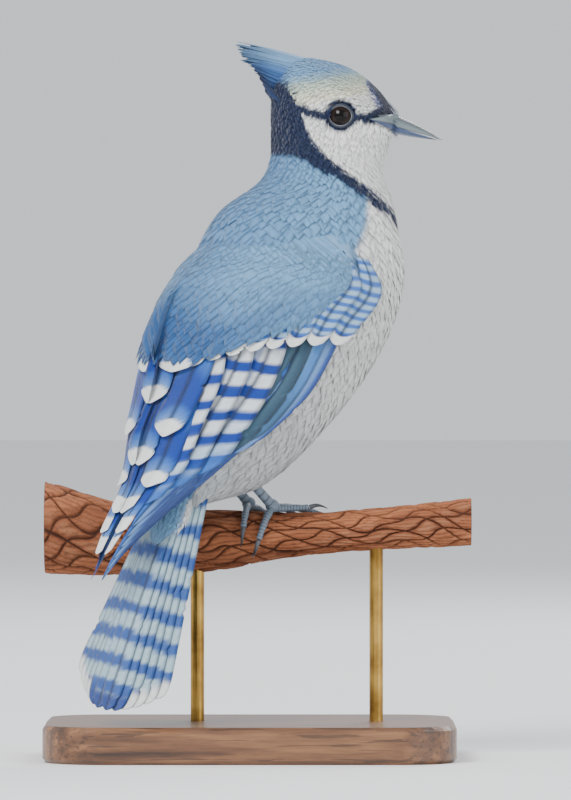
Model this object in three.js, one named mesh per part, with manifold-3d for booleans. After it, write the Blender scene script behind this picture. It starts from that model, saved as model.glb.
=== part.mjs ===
// A blue jay perched on a short cut length of pine branch, life size, on a plain display stand.
// Millimetres, +Z up. The origin is the middle of the base's underside.
// The bird stands in a three-quarter back view along +Y: its body points right and away, its head is
// turned into pure profile towards +X, and its tail hangs in front of the branch.
import * as THREE from "three";
import { mergeVertices } from "three/addons/utils/BufferGeometryUtils.js";
import Module from "manifold-3d";

const wasm = await Module();
wasm.setup();

// Driving dimensions
const GAP = 0.3; // clearance kept between touching pieces
const BODY_YAW = THREE.MathUtils.degToRad(38); // heading of the body, from +X towards +Y
const BODY_LINE_X = 3.5; // where the body's middle plane crosses the branch's line

const BASE = { length: 156, width: 116, height: 14, corner: 22, bevel: 1.6 };
const ROD = { radius: 2.6, xs: [-20, 48], sunkInBase: 7, sunkInPerch: 4 };

const EYE = { x: 34.4, z: 244, radius: 5.2, out: 10.6 };
const LID = { radius: 4.05, tube: 0.75, out: 14.1 };
const CREST = {
  rootTop: [36, 258],
  rootLow: [20, 249],
  tips: [
    [-5.3, 271.6],
    [-3.2, 268],
    [-0.2, 264.4],
    [3, 261],
    [5.6, 257],
  ],
  width: 8.5,
};
const NOSTRIL = { x: 57.5, z: 242.1, radius: 0.75, out: 3.6 };
const MOUTH = { length: 11, height: 0.5, x: 51, z: 241 };
const BILL = { baseX: 49, tipX: 73.4, baseZ: 241.2, tipZ: 234.6, rise: 5.6, fall: 3.9, half: 4.6 };

const TAIL = {
  root: { forward: -33, up: 121 },
  tip: { forward: -75, up: 20.6 },
  rootHalf: 11,
  tipHalf: 29.5,
  roll: THREE.MathUtils.degToRad(9),
  pairs: 6,
  width: 14,
  rootWidth: 6.5,
  layer: 0.95, // each pair lies this much under the one inside it
  shortening: 0.0136, // and ends this share of the length earlier, growing outwards
};
const VANE_THICK = 0.55;

// Materials, one for each kind of surface
const finish = (color, roughness, metalness = 0) =>
  new THREE.MeshStandardMaterial({ color, roughness, metalness });
const paint = {
  blue: finish(0x6f9cc4, 0.85),
  wing: finish(0x3f73bd, 0.8),
  head: finish(0x9dbcd6, 0.85),
  bill: finish(0x30363a, 0.45),
  eye: finish(0x120d0b, 0.08),
  leg: finish(0x5f6c78, 0.6),
  claw: finish(0x24272b, 0.4),
  bark: finish(0x9a6242, 0.9),
  base: finish(0x6b4a30, 0.5),
  rod: finish(0xb59a5a, 0.3, 1),
};

// Geometry helpers

// A closed solid whose skin joins rings of equal count, with a fan over each end.
function loft(rings) {
  const count = rings[0].length;
  const points = rings.flat();
  const first = points.length;
  const last = first + 1;
  const middle = (ring) => ring.reduce((sum, p) => sum.add(p), new THREE.Vector3()).divideScalar(count);
  points.push(middle(rings[0]), middle(rings.at(-1)));
  const faces = [];
  for (let row = 0; row < rings.length - 1; row++) {
    for (let side = 0; side < count; side++) {
      const next = (side + 1) % count;
      const a = row * count + side;
      const b = row * count + next;
      faces.push(a, b, b + count, a, b + count, a + count);
    }
  }
  const top = (rings.length - 1) * count;
  for (let side = 0; side < count; side++) {
    const next = (side + 1) % count;
    faces.push(first, next, side, last, top + side, top + next);
  }
  return surface(points, faces);
}

// A thin curved vane: a grid of middle points, half the thickness laid on either side, split alike.
function vane(grid, thick) {
  const rows = grid.length;
  const columns = grid[0].length;
  const points = [];
  const inside = (place, count) => Math.min(Math.max(place, 0), count - 1);
  const at = (row, column) => grid[inside(row, rows)][inside(column, columns)];
  for (const side of [0.5, -0.5]) {
    for (let row = 0; row < rows; row++) {
      for (let column = 0; column < columns; column++) {
        const along = at(row + 1, column).clone().sub(at(row - 1, column));
        const across = at(row, column + 1).clone().sub(at(row, column - 1));
        const normal = along.cross(across).normalize();
        points.push(grid[row][column].clone().addScaledVector(normal, side * thick));
      }
    }
  }
  const under = rows * columns;
  const faces = [];
  for (let row = 0; row < rows - 1; row++) {
    for (let column = 0; column < columns - 1; column++) {
      const a = row * columns + column;
      const b = a + 1;
      const c = a + columns;
      const d = c + 1;
      faces.push(a, c, d, a, d, b);
      faces.push(under + a, under + d, under + c, under + a, under + b, under + d);
    }
  }
  const rim = [];
  for (let column = 0; column < columns - 1; column++) rim.push(column);
  for (let row = 0; row < rows - 1; row++) rim.push(row * columns + columns - 1);
  for (let column = columns - 1; column > 0; column--) rim.push((rows - 1) * columns + column);
  for (let row = rows - 1; row > 0; row--) rim.push(row * columns);
  rim.forEach((a, i) => {
    const b = rim[(i + 1) % rim.length];
    faces.push(a, b, under + b, a, under + b, under + a);
  });
  return surface(points, faces);
}

// How the half width of a feather grows from its root and rounds off at its tip.
const FEATHER_ROWS = [0, 0.3, 0.65, 0.9, 1];
function featherWidth(share, tip = 0.3) {
  const rootPart = THREE.MathUtils.lerp(0.55, 1, Math.min(share / 0.3, 1));
  const tipPart = share < 0.8 ? 1 : Math.sqrt(Math.max(1 - ((share - 0.8) / 0.2) ** 2, 0));
  return rootPart * Math.max(tipPart, tip);
}

function surface(points, faces) {
  const geometry = new THREE.BufferGeometry();
  geometry.setAttribute("position", new THREE.Float32BufferAttribute(points.flatMap((p) => p.toArray()), 3));
  geometry.setIndex(faces);
  return geometry;
}

// A solid from a closed geometry, turned right side out.
function solid(geometry) {
  const bare = geometry.clone();
  bare.deleteAttribute("normal");
  bare.deleteAttribute("uv");
  const merged = mergeVertices(bare, 1e-4);
  const index = merged.index.array;
  const kept = [];
  for (let i = 0; i < index.length; i += 3) {
    const [a, b, c] = [index[i], index[i + 1], index[i + 2]];
    if (a !== b && b !== c && c !== a) kept.push(a, b, c);
  }
  const triVerts = new Uint32Array(kept);
  const vertProperties = new Float32Array(merged.attributes.position.array);
  const made = new wasm.Manifold(new wasm.Mesh({ numProp: 3, vertProperties, triVerts }));
  if (made.volume() > 0) return made;
  for (let i = 0; i < triVerts.length; i += 3) {
    [triVerts[i + 1], triVerts[i + 2]] = [triVerts[i + 2], triVerts[i + 1]];
  }
  return new wasm.Manifold(new wasm.Mesh({ numProp: 3, vertProperties, triVerts }));
}

const largest = (made) =>
  made.decompose().reduce((best, body) => (body.volume() > best.volume() ? body : best));

// A ring of an ellipse around a centre, spanned by two half axes.
function ellipseRing(centre, first, second, sides) {
  return Array.from({ length: sides }, (_, i) => {
    const angle = (i / sides) * Math.PI * 2;
    return centre.clone().addScaledVector(first, Math.cos(angle)).addScaledVector(second, Math.sin(angle));
  });
}

// A tapering round bar along a curve, between two shares of its length.
function bar(curve, radiusAt, sides, steps, from = 0, to = 1) {
  const rings = [];
  const up = new THREE.Vector3(0, 0, 1);
  let across = curve.getTangent(from).cross(up);
  if (across.length() < 0.1) across = new THREE.Vector3(0, 1, 0);
  for (let i = 0; i <= steps; i++) {
    const share = from + ((to - from) * i) / steps;
    const tangent = curve.getTangentAt(share);
    across.addScaledVector(tangent, -across.dot(tangent)).normalize();
    const other = tangent.clone().cross(across);
    const radius = radiusAt(share);
    const first = across.clone().multiplyScalar(radius);
    rings.push(ellipseRing(curve.getPointAt(share), first, other.multiplyScalar(radius), sides));
  }
  return loft(rings);
}

const vec = (x, y, z) => new THREE.Vector3(x, y, z);
const curveOf = (points) => new THREE.CatmullRomCurve3(points, false, "centripetal");

// A place in the body's own frame: forward along its heading, side to its right, up.
function inBody(forward, side, up) {
  const x = BODY_LINE_X + forward * Math.cos(BODY_YAW) + side * Math.sin(BODY_YAW);
  const y = forward * Math.sin(BODY_YAW) - side * Math.cos(BODY_YAW);
  return vec(x, y, up);
}

// Body, neck and head: one surface. Each station runs from the back (or nape, or crown) to the
// front (or throat) as seen along +Y, with half its width and the heading of the bird there.
const STATIONS = [
  { back: [-31.5, 92.5], front: [-24.5, 90.5], half: 6, yaw: 38 },
  { back: [-34.2, 100.9], front: [-17.9, 94.9], half: 13, yaw: 38 },
  { back: [-38, 120.7], front: [4.6, 101.7], half: 24, yaw: 38 },
  { back: [-37.2, 139.7], front: [25.8, 120.7], half: 31, yaw: 38 },
  { back: [-33.1, 160.6], front: [42.6, 141.6], half: 34, yaw: 38 },
  { back: [-26.6, 177.7], front: [54.7, 164.4], half: 35, yaw: 38 },
  { back: [-20.5, 192.9], front: [58.5, 183.4], half: 33, yaw: 36 },
  { back: [-11.4, 208.1], front: [56.2, 200.5], half: 27, yaw: 30 },
  { back: [3, 218.7], front: [54, 211.9], half: 20.5, yaw: 20 },
  { back: [7.6, 227.1], front: [50.5, 222.5], half: 17.5, yaw: 10 },
  { back: [8, 236.7], front: [52.2, 230], half: 16, yaw: 0 },
  { back: [8, 248], front: [53.2, 233.9], half: 15, yaw: 0 },
  { back: [9.5, 259.4], front: [54.3, 236], half: 14.6, yaw: 0 },
  { back: [19, 266.2], front: [55, 236.8], half: 14, yaw: 0 },
  { back: [34.2, 264], front: [55.4, 237.4], half: 12, yaw: 0 },
  { back: [43.7, 259], front: [55.7, 238], half: 9.4, yaw: 0 },
  { back: [50.5, 252.6], front: [55.7, 238.6], half: 6.6, yaw: 0 },
  { back: [54, 247], front: [55.4, 240], half: 3.6, yaw: 0 },
];
const NECK_START = 7.45; // the station number where the torso ends
const HEAD_START = 9.55; // and where the neck ends
const PART_CUT = 0.05; // the share of a station left out at a parting
const BODY_SIDES = 24;

const BACK = new THREE.SplineCurve(STATIONS.map((s) => new THREE.Vector2(...s.back)));
const FRONT = new THREE.SplineCurve(STATIONS.map((s) => new THREE.Vector2(...s.front)));
const HALF = new THREE.SplineCurve(STATIONS.map((s, i) => new THREE.Vector2(i, s.half)));
const YAW = new THREE.SplineCurve(STATIONS.map((s, i) => new THREE.Vector2(i, s.yaw)));

// The middle line's depth grows with x by the tangent of the heading.
const DEPTHS = [];
for (let i = 0; i < STATIONS.length; i++) {
  const middleX = (STATIONS[i].back[0] + STATIONS[i].front[0]) / 2;
  const yaw = THREE.MathUtils.degToRad(STATIONS[i].yaw);
  const before = i ? DEPTHS[i - 1] : { x: BODY_LINE_X, y: 0 };
  DEPTHS.push({ x: middleX, y: before.y + Math.tan(yaw) * (middleX - before.x) });
}
const DEPTH = new THREE.SplineCurve(DEPTHS.map((d, i) => new THREE.Vector2(i, d.y)));

// The frame of the body's surface at a station number: centre, half axes and heading.
function station(number) {
  const share = THREE.MathUtils.clamp(number / (STATIONS.length - 1), 0, 1);
  const back = BACK.getPoint(share);
  const front = FRONT.getPoint(share);
  const half = HALF.getPoint(share).y;
  const yaw = THREE.MathUtils.degToRad(YAW.getPoint(share).y);
  const seen = front.clone().sub(back).multiplyScalar(0.5);
  const reach = seen.length();
  const [ex, ez] = [seen.x / reach, seen.y / reach];
  const level = ex / Math.cos(yaw);
  const slant = Math.hypot(level, ez);
  const shown = half * Math.sin(yaw) * ex;
  const depth = Math.sqrt(Math.max(reach * reach - shown * shown, 1)) * slant;
  const toFront = vec((level * Math.cos(yaw)) / slant, (level * Math.sin(yaw)) / slant, ez / slant);
  const toRight = vec(Math.sin(yaw), -Math.cos(yaw), 0);
  const centre = vec((back.x + front.x) / 2, DEPTH.getPoint(share).y, (back.y + front.y) / 2);
  return { centre, toFront, toRight, depth, half };
}

// A stretch of the body between two station numbers, grown outwards by a margin.
function bodySolid(from, to, rings, margin) {
  const made = [];
  for (let i = 0; i <= rings; i++) {
    const s = station(from + ((to - from) * i) / rings);
    const first = s.toFront.clone().multiplyScalar(s.depth + margin);
    const second = s.toRight.clone().multiplyScalar(s.half + margin);
    made.push(ellipseRing(s.centre, first, second, BODY_SIDES));
  }
  return solid(loft(made));
}

const LAST = STATIONS.length - 1;
const STRETCHES = [
  { from: 0, to: NECK_START, rings: 20 },
  { from: NECK_START + PART_CUT, to: HEAD_START, rings: 6 },
  { from: HEAD_START + PART_CUT, to: LAST, rings: 16 },
];
const stretches = (margin) =>
  STRETCHES.map(({ from, to, rings }) => bodySolid(from, to, rings, margin));
const [torso, neck, skull] = stretches(0);
const wholeWithGap = stretches(GAP).reduce((sum, piece) => sum.add(piece));
const HEAD_Y = station(13).centre.y;

// Perch: a cut length of pine branch along x, thicker at its left end.
const PERCH_ENDS = [-78, 84];
const PERCH_SHARE = (x) => (x - PERCH_ENDS[0]) / (PERCH_ENDS[1] - PERCH_ENDS[0]);
const PERCH_LINE = curveOf([
  vec(PERCH_ENDS[0], 6, 87.5),
  vec(-46, 4.5, 82.6),
  vec(-15, 2, 82.6),
  vec(8, 1, 84.2),
  vec(40, 0, 86.4),
  vec(PERCH_ENDS[1], 1, 89.6),
]);
const PERCH_RADII = new THREE.SplineCurve(
  [17.5, 13.2, 11.6, 8.3, 8, 9].map((radius, i) => new THREE.Vector2(i, radius)),
);
const perchRadius = (share) => PERCH_RADII.getPoint(share).y;

// Base and rods
function baseSolid() {
  const outline = new THREE.Shape();
  const [x, y, c] = [BASE.length / 2 - BASE.bevel, BASE.width / 2 - BASE.bevel, BASE.corner];
  outline.moveTo(-x + c, -y);
  outline.lineTo(x - c, -y);
  outline.absarc(x - c, -y + c, c, -Math.PI / 2, 0, false);
  outline.lineTo(x, y - c);
  outline.absarc(x - c, y - c, c, 0, Math.PI / 2, false);
  outline.lineTo(-x + c, y);
  outline.absarc(-x + c, y - c, c, Math.PI / 2, Math.PI, false);
  outline.lineTo(-x, -y + c);
  outline.absarc(-x + c, -y + c, c, Math.PI, Math.PI * 1.5, false);
  const plate = new THREE.ExtrudeGeometry(outline, {
    depth: BASE.height - 2 * BASE.bevel,
    bevelThickness: BASE.bevel,
    bevelSize: BASE.bevel,
    bevelSegments: 1,
    curveSegments: 6,
  });
  return solid(plate.translate(0, 0, BASE.bevel));
}

function rodSolid(x, margin = 0) {
  const share = PERCH_SHARE(x);
  const point = PERCH_LINE.getPointAt(share);
  const top = point.z - perchRadius(share) + ROD.sunkInPerch + margin;
  const bottom = BASE.height - ROD.sunkInBase - margin;
  const rod = new THREE.CylinderGeometry(ROD.radius + margin, ROD.radius + margin, top - bottom, 20);
  return solid(rod.rotateX(Math.PI / 2).translate(x, point.y, (top + bottom) / 2));
}

// Tail: twelve long feathers in pairs under a wedge of coverts, the middle pair longest and on top.
const TAIL_ALONG = vec(TAIL.tip.forward - TAIL.root.forward, 0, TAIL.tip.up - TAIL.root.up);
const TAIL_BACK = { forward: TAIL_ALONG.z, up: -TAIL_ALONG.x };
const TAIL_LENGTH = Math.hypot(TAIL_ALONG.x, TAIL_ALONG.z);

function tailPoint(along, side, lift) {
  const forward = TAIL.root.forward + TAIL_ALONG.x * along + (TAIL_BACK.forward / TAIL_LENGTH) * lift;
  const up = TAIL.root.up + TAIL_ALONG.z * along + (TAIL_BACK.up / TAIL_LENGTH) * lift;
  return inBody(forward, side * Math.cos(TAIL.roll), up - side * Math.sin(TAIL.roll));
}

function tailFeather(sign, pair) {
  const spread = pair / (TAIL.pairs - 1);
  const outerTip = TAIL.tipHalf * THREE.MathUtils.lerp(0.3, 1, spread);
  const outerRoot = TAIL.rootHalf * THREE.MathUtils.lerp(0.45, 1, spread);
  const length = 1 - TAIL.shortening * pair * (0.4 + 0.2 * pair);
  const innermost = pair ? 0.4 : -3;
  const rows = FEATHER_ROWS.map((share) => {
    const along = share * length;
    const outer = THREE.MathUtils.lerp(outerRoot, outerTip, share);
    const width = THREE.MathUtils.lerp(TAIL.rootWidth, TAIL.width, Math.min(share * 1.3, 1));
    const inner = Math.max(outer - width, innermost);
    const middle = (inner + outer) / 2;
    const half = ((outer - inner) / 2) * featherWidth(share, 0.35);
    const base = -TAIL.layer * pair - (sign < 0 && !pair ? TAIL.layer / 2 : 0);
    return [-1, 0, 1].map((edge) => {
      const side = sign * (middle + edge * half);
      return tailPoint(along, side, base - 0.15 * Math.abs(edge) - 0.015 * half * edge);
    });
  });
  return solid(vane(rows, VANE_THICK));
}

// The wedge of tail coverts that holds the roots.
function tailCoverts() {
  const rings = [0, 0.15, 0.3, 0.42].map((along, i) => {
    const half = [8, 10.5, 10, 5][i];
    const thick = [7, 6, 4.4, 3.2][i];
    const centre = tailPoint(along, 0, -TAIL.layer * 2.4);
    const across = tailPoint(along, 1, 0).sub(tailPoint(along, 0, 0)).multiplyScalar(half);
    const out = tailPoint(along, 0, 1).sub(tailPoint(along, 0, 0)).multiplyScalar(thick);
    return ellipseRing(centre, across, out, 14);
  });
  return solid(loft(rings));
}

function tailSolid() {
  let made = tailCoverts();
  for (let pair = 0; pair < TAIL.pairs; pair++) {
    for (const sign of [1, -1]) made = made.add(tailFeather(sign, pair));
  }
  return made;
}

// Wing: a sheet from the back's middle line (inner edge) to the flank (outer edge), bulging outwards.
const WING_INNER = curveOf([
  inBody(-14, 2, 203),
  inBody(-36, 0, 176),
  inBody(-44, -0.5, 158),
  inBody(-49, -0.5, 138),
  inBody(-54.5, -0.5, 124),
  inBody(-59, 0, 106),
  inBody(-69.5, 0.6, 87),
  inBody(-79, 1, 70),
]);
const WING_OUTER = curveOf([
  inBody(20, 27, 202),
  inBody(28, 32, 178),
  inBody(14, 35, 161),
  inBody(-2, 34, 141),
  inBody(-24, 27, 122),
  inBody(-41, 18, 105.5),
  inBody(-55, 12, 93.3),
  inBody(-80, 4.5, 69.5),
]);
const WING_BULGE = new THREE.SplineCurve(
  [10, 15, 16, 15, 10, 6, 4, 0.5].map((bulge, i) => new THREE.Vector2(i, bulge)),
);
const WING_OFF_BODY = { inner: 1.8, outer: 5 }; // how far the sheet stands off the body's skin

// Moves a point along its line from the body's middle, until it stands between two heights off the skin.
function besideBody(point, lowest, highest) {
  const ahead = (number) => {
    const s = station(number);
    const normal = s.toFront.clone().cross(s.toRight);
    if (normal.z > 0) normal.negate();
    return point.clone().sub(s.centre).dot(normal) < 0;
  };
  let [low, high] = [0, HEAD_START];
  if (!ahead(low) || ahead(high)) return point;
  for (let i = 0; i < 18; i++) {
    const middle = (low + high) / 2;
    if (ahead(middle)) low = middle;
    else high = middle;
  }
  const s = station(low);
  const off = point.clone().sub(s.centre);
  const share = Math.hypot(off.dot(s.toFront) / s.depth, off.dot(s.toRight) / s.half);
  const skin = off.length() / share;
  const wanted = THREE.MathUtils.clamp(off.length(), skin + lowest, skin + highest);
  return s.centre.clone().addScaledVector(off.normalize(), wanted);
}

// A place on the wing's sheet, lifted so far off it.
function wingPoint(along, across, lift = 0) {
  const inner = WING_INNER.getPointAt(along);
  const outer = WING_OUTER.getPointAt(along);
  const step = 0.02;
  const a = Math.max(along - step, 0);
  const b = Math.min(along + step, 1);
  const chord = outer.clone().sub(inner);
  const run = WING_INNER.getPointAt(b).add(WING_OUTER.getPointAt(b));
  run.sub(WING_INNER.getPointAt(a)).sub(WING_OUTER.getPointAt(a));
  const out = run.cross(chord).normalize();
  const share = THREE.MathUtils.clamp(across, 0, 1);
  const bulge = WING_BULGE.getPoint(along).y;
  const lean = (bulge * Math.PI * Math.cos(Math.PI * share)) / chord.length();
  const sheet = inner.addScaledVector(chord, across).addScaledVector(out, bulge * Math.sin(Math.PI * share));
  const normal = out.addScaledVector(chord.normalize(), -lean).normalize();
  const low = THREE.MathUtils.lerp(WING_OFF_BODY.inner, WING_OFF_BODY.outer, share * share);
  const loose = 400 * THREE.MathUtils.clamp(along - 0.12, 0, 1) ** 2;
  return besideBody(sheet, low, low + loose).addScaledVector(normal, lift);
}

const WIDEST_SHARE = 0.2; // of the sheet's width, on either side of a feather's shaft

// One wing feather from its root to its tip, both given along and across the sheet, bent to the sheet.
// Its outer edge stands higher than its inner one, so that it slips under its inner neighbour: the
// tilt is the height gained over the whole width of the sheet.
function wingFeather({ root, tip, width, lift, tipLift = lift, tilt = 9, columns = 2 }) {
  const rows = FEATHER_ROWS.map((share) => {
    const along = Math.min(THREE.MathUtils.lerp(root[0], tip[0], share), 1);
    const across = THREE.MathUtils.lerp(root[1], tip[1], share);
    const raise = THREE.MathUtils.lerp(lift, tipLift, share);
    const sheetWidth = 1.1 * WING_INNER.getPointAt(along).distanceTo(WING_OUTER.getPointAt(along));
    const half = (width / 2) * featherWidth(share);
    return Array.from({ length: columns }, (_, column) => {
      const edge = (2 * column) / (columns - 1) - 1;
      const aside = edge * Math.min(half / sheetWidth, WIDEST_SHARE);
      return wingPoint(along, across + aside, raise + aside * tilt);
    });
  });
  return solid(vane(rows, VANE_THICK));
}

// The lower border of the cloak of shoulder feathers, as a share along the wing for each share across.
const CLOAK_BORDER = new THREE.SplineCurve(
  [0.37, 0.37, 0.34, 0.26, 0.2, 0.17].map((along, i) => new THREE.Vector2(i, along)),
);
const cloakBorder = (across) => CLOAK_BORDER.getPoint(THREE.MathUtils.clamp(across, 0, 1)).y;
const FLIGHT = { tertials: 4, secondaries: 6, primaries: 4, coverts: 7 };

// The cloak: a lens of shoulder and lesser covert feathers over all the roots.
function wingCloak() {
  const rings = [];
  const rows = 9;
  const columns = 9;
  for (let row = 0; row <= rows; row++) {
    const share = row / rows;
    const outside = [];
    const inside = [];
    for (let column = 0; column <= columns; column++) {
      const across = column / columns;
      const along = cloakBorder(across) * share;
      const edge = Math.min(share * 1.6, (1 - across) * 3, 1);
      const full = THREE.MathUtils.lerp(4.1, 2.7, Math.min(across * 2.5, 1)) * (1 - 0.22 * share ** 6);
      const top = THREE.MathUtils.lerp(-6, full, Math.sin((edge * Math.PI) / 2));
      outside.push(wingPoint(along, across, top));
      inside.unshift(wingPoint(along, across, -8.6 + 7 * share ** 8));
    }
    rings.push([...outside, ...inside]);
  }
  return solid(loft(rings));
}

function wingFeathers() {
  const feathers = [];
  const tertialTips = [
    [0.455, 0.08],
    [0.62, 0.1],
    [0.76, 0.13],
    [0.88, 0.2],
  ];
  tertialTips.forEach((tip, i) => {
    const lift = 3.5 - 0.85 * i;
    feathers.push({ root: [0.26, 0.1 + 0.04 * i], tip, width: 14 - i, lift, tilt: 0, columns: 3 });
  });
  for (let i = 0; i < FLIGHT.secondaries; i++) {
    const across = 0.28 + 0.1 * i;
    const root = [cloakBorder(across) - 0.08, across];
    feathers.push({ root, tip: [0.83 - 0.05 * i, 0.34 + 0.1 * i], width: 10.4, lift: -0.75 });
  }
  for (let i = 0; i < FLIGHT.primaries; i++) {
    const tip = [0.91 + 0.03 * i, 0.45 + 0.12 * i];
    feathers.push({ root: [0.12, 0.9], tip, width: 8.8, lift: -1.25, tipLift: 0.2 - 0.75 * i, tilt: 0 });
  }
  for (let i = 0; i < FLIGHT.coverts; i++) {
    const across = 0.3 + 0.105 * i;
    const root = [cloakBorder(across) - 0.09, across];
    feathers.push({ root, tip: [0.395 - 0.014 * i, across + 0.02], width: 9.2, lift: -0.55, tipLift: 1.75 });
  }
  return feathers;
}

function wingSolid() {
  return wingFeathers().reduce((made, feather) => made.add(wingFeather(feather)), wingCloak());
}

// Everything left of the body's middle plane, and a little of its right.
const FAR = 400;
const leftHalf = solid(
  new THREE.BoxGeometry(FAR, FAR, FAR)
    .rotateZ(BODY_YAW)
    .translate(...inBody(0, 0.25 - FAR / 2, 150).toArray()),
);

// The left side is the right side mirrored in the body's middle plane.
function mirrored(made) {
  const normal = vec(Math.sin(BODY_YAW), -Math.cos(BODY_YAW), 0);
  return largest(
    made
      .translate([-BODY_LINE_X, 0, 0])
      .mirror(normal.toArray())
      .translate([BODY_LINE_X, 0, 0]),
  );
}

// Crest: pointed feathers in tiers on either side of the crown, each a bent roof-shaped vane.
function crestFeather(tier, side) {
  const share = tier / (CREST.tips.length - 1);
  const [tipX, tipZ] = CREST.tips[tier];
  const rootX = THREE.MathUtils.lerp(CREST.rootTop[0], CREST.rootLow[0], share);
  const rootZ = THREE.MathUtils.lerp(CREST.rootTop[1], CREST.rootLow[1], share);
  const root = vec(rootX, HEAD_Y + side * (1.5 + 1.2 * tier), rootZ);
  const tip = vec(tipX + 0.8 * side * side, HEAD_Y + side * (0.9 + 1.1 * tier), tipZ - 0.5 * side * side);
  const bend = root.clone().lerp(tip, 0.45).add(vec(-1, side * 1.4, 3.2));
  const line = new THREE.QuadraticBezierCurve3(root, bend, tip);
  const slope = side * 0.95;
  const edges = tier < 2 ? [-1, 0, 1] : [-1, 1];
  const rows = [0, 0.35, 0.75, 1].map((place, i) => {
    const point = line.getPoint(place);
    const run = line.getTangent(place);
    const out = vec(0, slope, 1).addScaledVector(run, -run.z - slope * run.y).normalize();
    const outward = run.clone().cross(out);
    const half = (CREST.width / 2) * [0.8, 1, 0.7, 0.14][i];
    return edges.map((edge) =>
      point.clone().addScaledVector(outward, edge * half).addScaledVector(out, -Math.abs(edge) * half * 0.35),
    );
  });
  return solid(vane(rows, VANE_THICK));
}

function crestSolid() {
  const feathers = [crestFeather(0, 0)];
  for (let tier = 0; tier < CREST.tips.length; tier++) {
    for (const side of [1, -1]) feathers.push(crestFeather(tier, side));
  }
  return feathers.reduce((made, feather) => made.add(feather));
}

// Raised rims of the lids, one on either side.
function lidSolid(side) {
  const rim = new THREE.TorusGeometry(LID.radius, LID.tube, 5, 16);
  return solid(rim.rotateX(Math.PI / 2).translate(EYE.x, HEAD_Y + side * LID.out, EYE.z));
}

function nostril(side) {
  const hole = new THREE.SphereGeometry(NOSTRIL.radius, 8, 6);
  return solid(hole.translate(NOSTRIL.x, HEAD_Y + side * NOSTRIL.out, NOSTRIL.z));
}

// Bill halves: an arch over a flat cutting edge, from inside the face to the tip.
function billHalf(sign, height, grow = 0) {
  const rings = [];
  const steps = 8;
  const sides = 9;
  for (let i = 0; i <= steps; i++) {
    const share = i / steps;
    const taper = Math.max(1 - share ** 1.7, 0.06);
    const x = THREE.MathUtils.lerp(BILL.baseX, sign > 0 ? BILL.tipX : BILL.tipX - 1.6, share);
    const edge = THREE.MathUtils.lerp(BILL.baseZ, BILL.tipZ, share) + sign * (GAP / 2 - grow);
    const ring = [];
    for (let j = 0; j <= sides; j++) {
      const angle = (j / sides) * Math.PI;
      const y = Math.cos(angle) * (BILL.half * taper + grow);
      const z = Math.sin(angle) * (height * taper + 2 * grow) * sign;
      ring.push(vec(x - grow + 2 * grow * share, HEAD_Y + y, edge + z));
    }
    rings.push(ring);
  }
  return solid(loft(rings));
}

// Eye: a ball sunk in the side of the head.
function eyeSolid(side, margin = 0) {
  const ball = new THREE.SphereGeometry(EYE.radius + margin, 16, 10);
  return solid(ball.translate(EYE.x, HEAD_Y + side * EYE.out, EYE.z));
}

// Legs and feet. A toe leaves its palm over the branch's skin, at a heading from +X towards the far
// side, and winds round the branch; a foot's start is its place in degrees from the branch's top.
const FEET = {
  right: {
    x: 8.5,
    start: -18,
    side: 7,
    toes: { hind: [-110, 15], inner: [54, 15], middle: [33, 20], outer: [10, 14] },
  },
  left: {
    x: -0.5,
    start: 8,
    side: -5,
    toes: { hind: [-97, 16], inner: [46, 15], middle: [66, 19], outer: [90, 15] },
  },
};
const TOE = { radius: 1.5, tipRadius: 1.05, knuckle: 0.15, claw: 7, clawRadius: 0.95 };
const PALM = 2.7;
const TARSUS = 1.9;

function perchPoint(x, turn, height) {
  const share = PERCH_SHARE(x);
  const centre = PERCH_LINE.getPointAt(share);
  const radius = perchRadius(share) + height;
  const angle = THREE.MathUtils.degToRad(turn);
  return vec(x, centre.y + radius * Math.sin(angle), centre.z + radius * Math.cos(angle));
}

// A point of a toe's middle line, so many millimetres out from the palm.
function toePoint(foot, [heading, length], reach, height) {
  const angle = THREE.MathUtils.degToRad(heading);
  const arc = perchRadius(PERCH_SHARE(foot.x)) + TOE.radius;
  const turn = foot.start + THREE.MathUtils.radToDeg((reach * Math.sin(angle)) / arc);
  return perchPoint(foot.x + reach * Math.cos(angle), turn, height);
}

const TOE_HEIGHT = TOE.radius + TOE.knuckle + GAP;

function toeCurve(foot, toe) {
  const points = [];
  for (let i = 0; i <= 6; i++) points.push(toePoint(foot, toe, (toe[1] * i) / 6, TOE_HEIGHT));
  return curveOf(points);
}

function toeRadius(share) {
  const knuckles = TOE.knuckle * Math.cos(share * Math.PI * 6);
  return THREE.MathUtils.lerp(TOE.radius, TOE.tipRadius, share) + knuckles;
}

function clawCurve(foot, toe) {
  const points = [];
  for (let i = 0; i <= 4; i++) {
    const share = i / 4;
    const reach = toe[1] + GAP * 1.2 + TOE.claw * share;
    points.push(toePoint(foot, toe, reach, TOE_HEIGHT + Math.sin(share * Math.PI) - share * 0.8));
  }
  return curveOf(points);
}

function footSolid(foot) {
  const palm = new THREE.SphereGeometry(PALM, 10, 7);
  const centre = perchPoint(foot.x, foot.start, PALM + GAP);
  let made = solid(palm.translate(...centre.toArray()));
  for (const toe of Object.values(foot.toes)) {
    made = made.add(solid(bar(toeCurve(foot, toe), toeRadius, 6, 9)));
  }
  return largest(made);
}

function legSolid(foot) {
  const ankle = perchPoint(foot.x, foot.start, PALM + GAP);
  const knee = inBody(-16, foot.side, 111);
  const line = curveOf([ankle, ankle.clone().lerp(knee, 0.5), knee, inBody(-18, foot.side, 121)]);
  const palm = new THREE.SphereGeometry(PALM + 2 * GAP, 10, 7);
  const tarsus = solid(bar(line, () => TARSUS, 10, 10));
  return tarsus.subtract(solid(palm.translate(...ankle.toArray())));
}

// Put together
const group = new THREE.Group();

const FINEST = 0.05; // edges shorter than this, left by a join or a cut, are closed up

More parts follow.
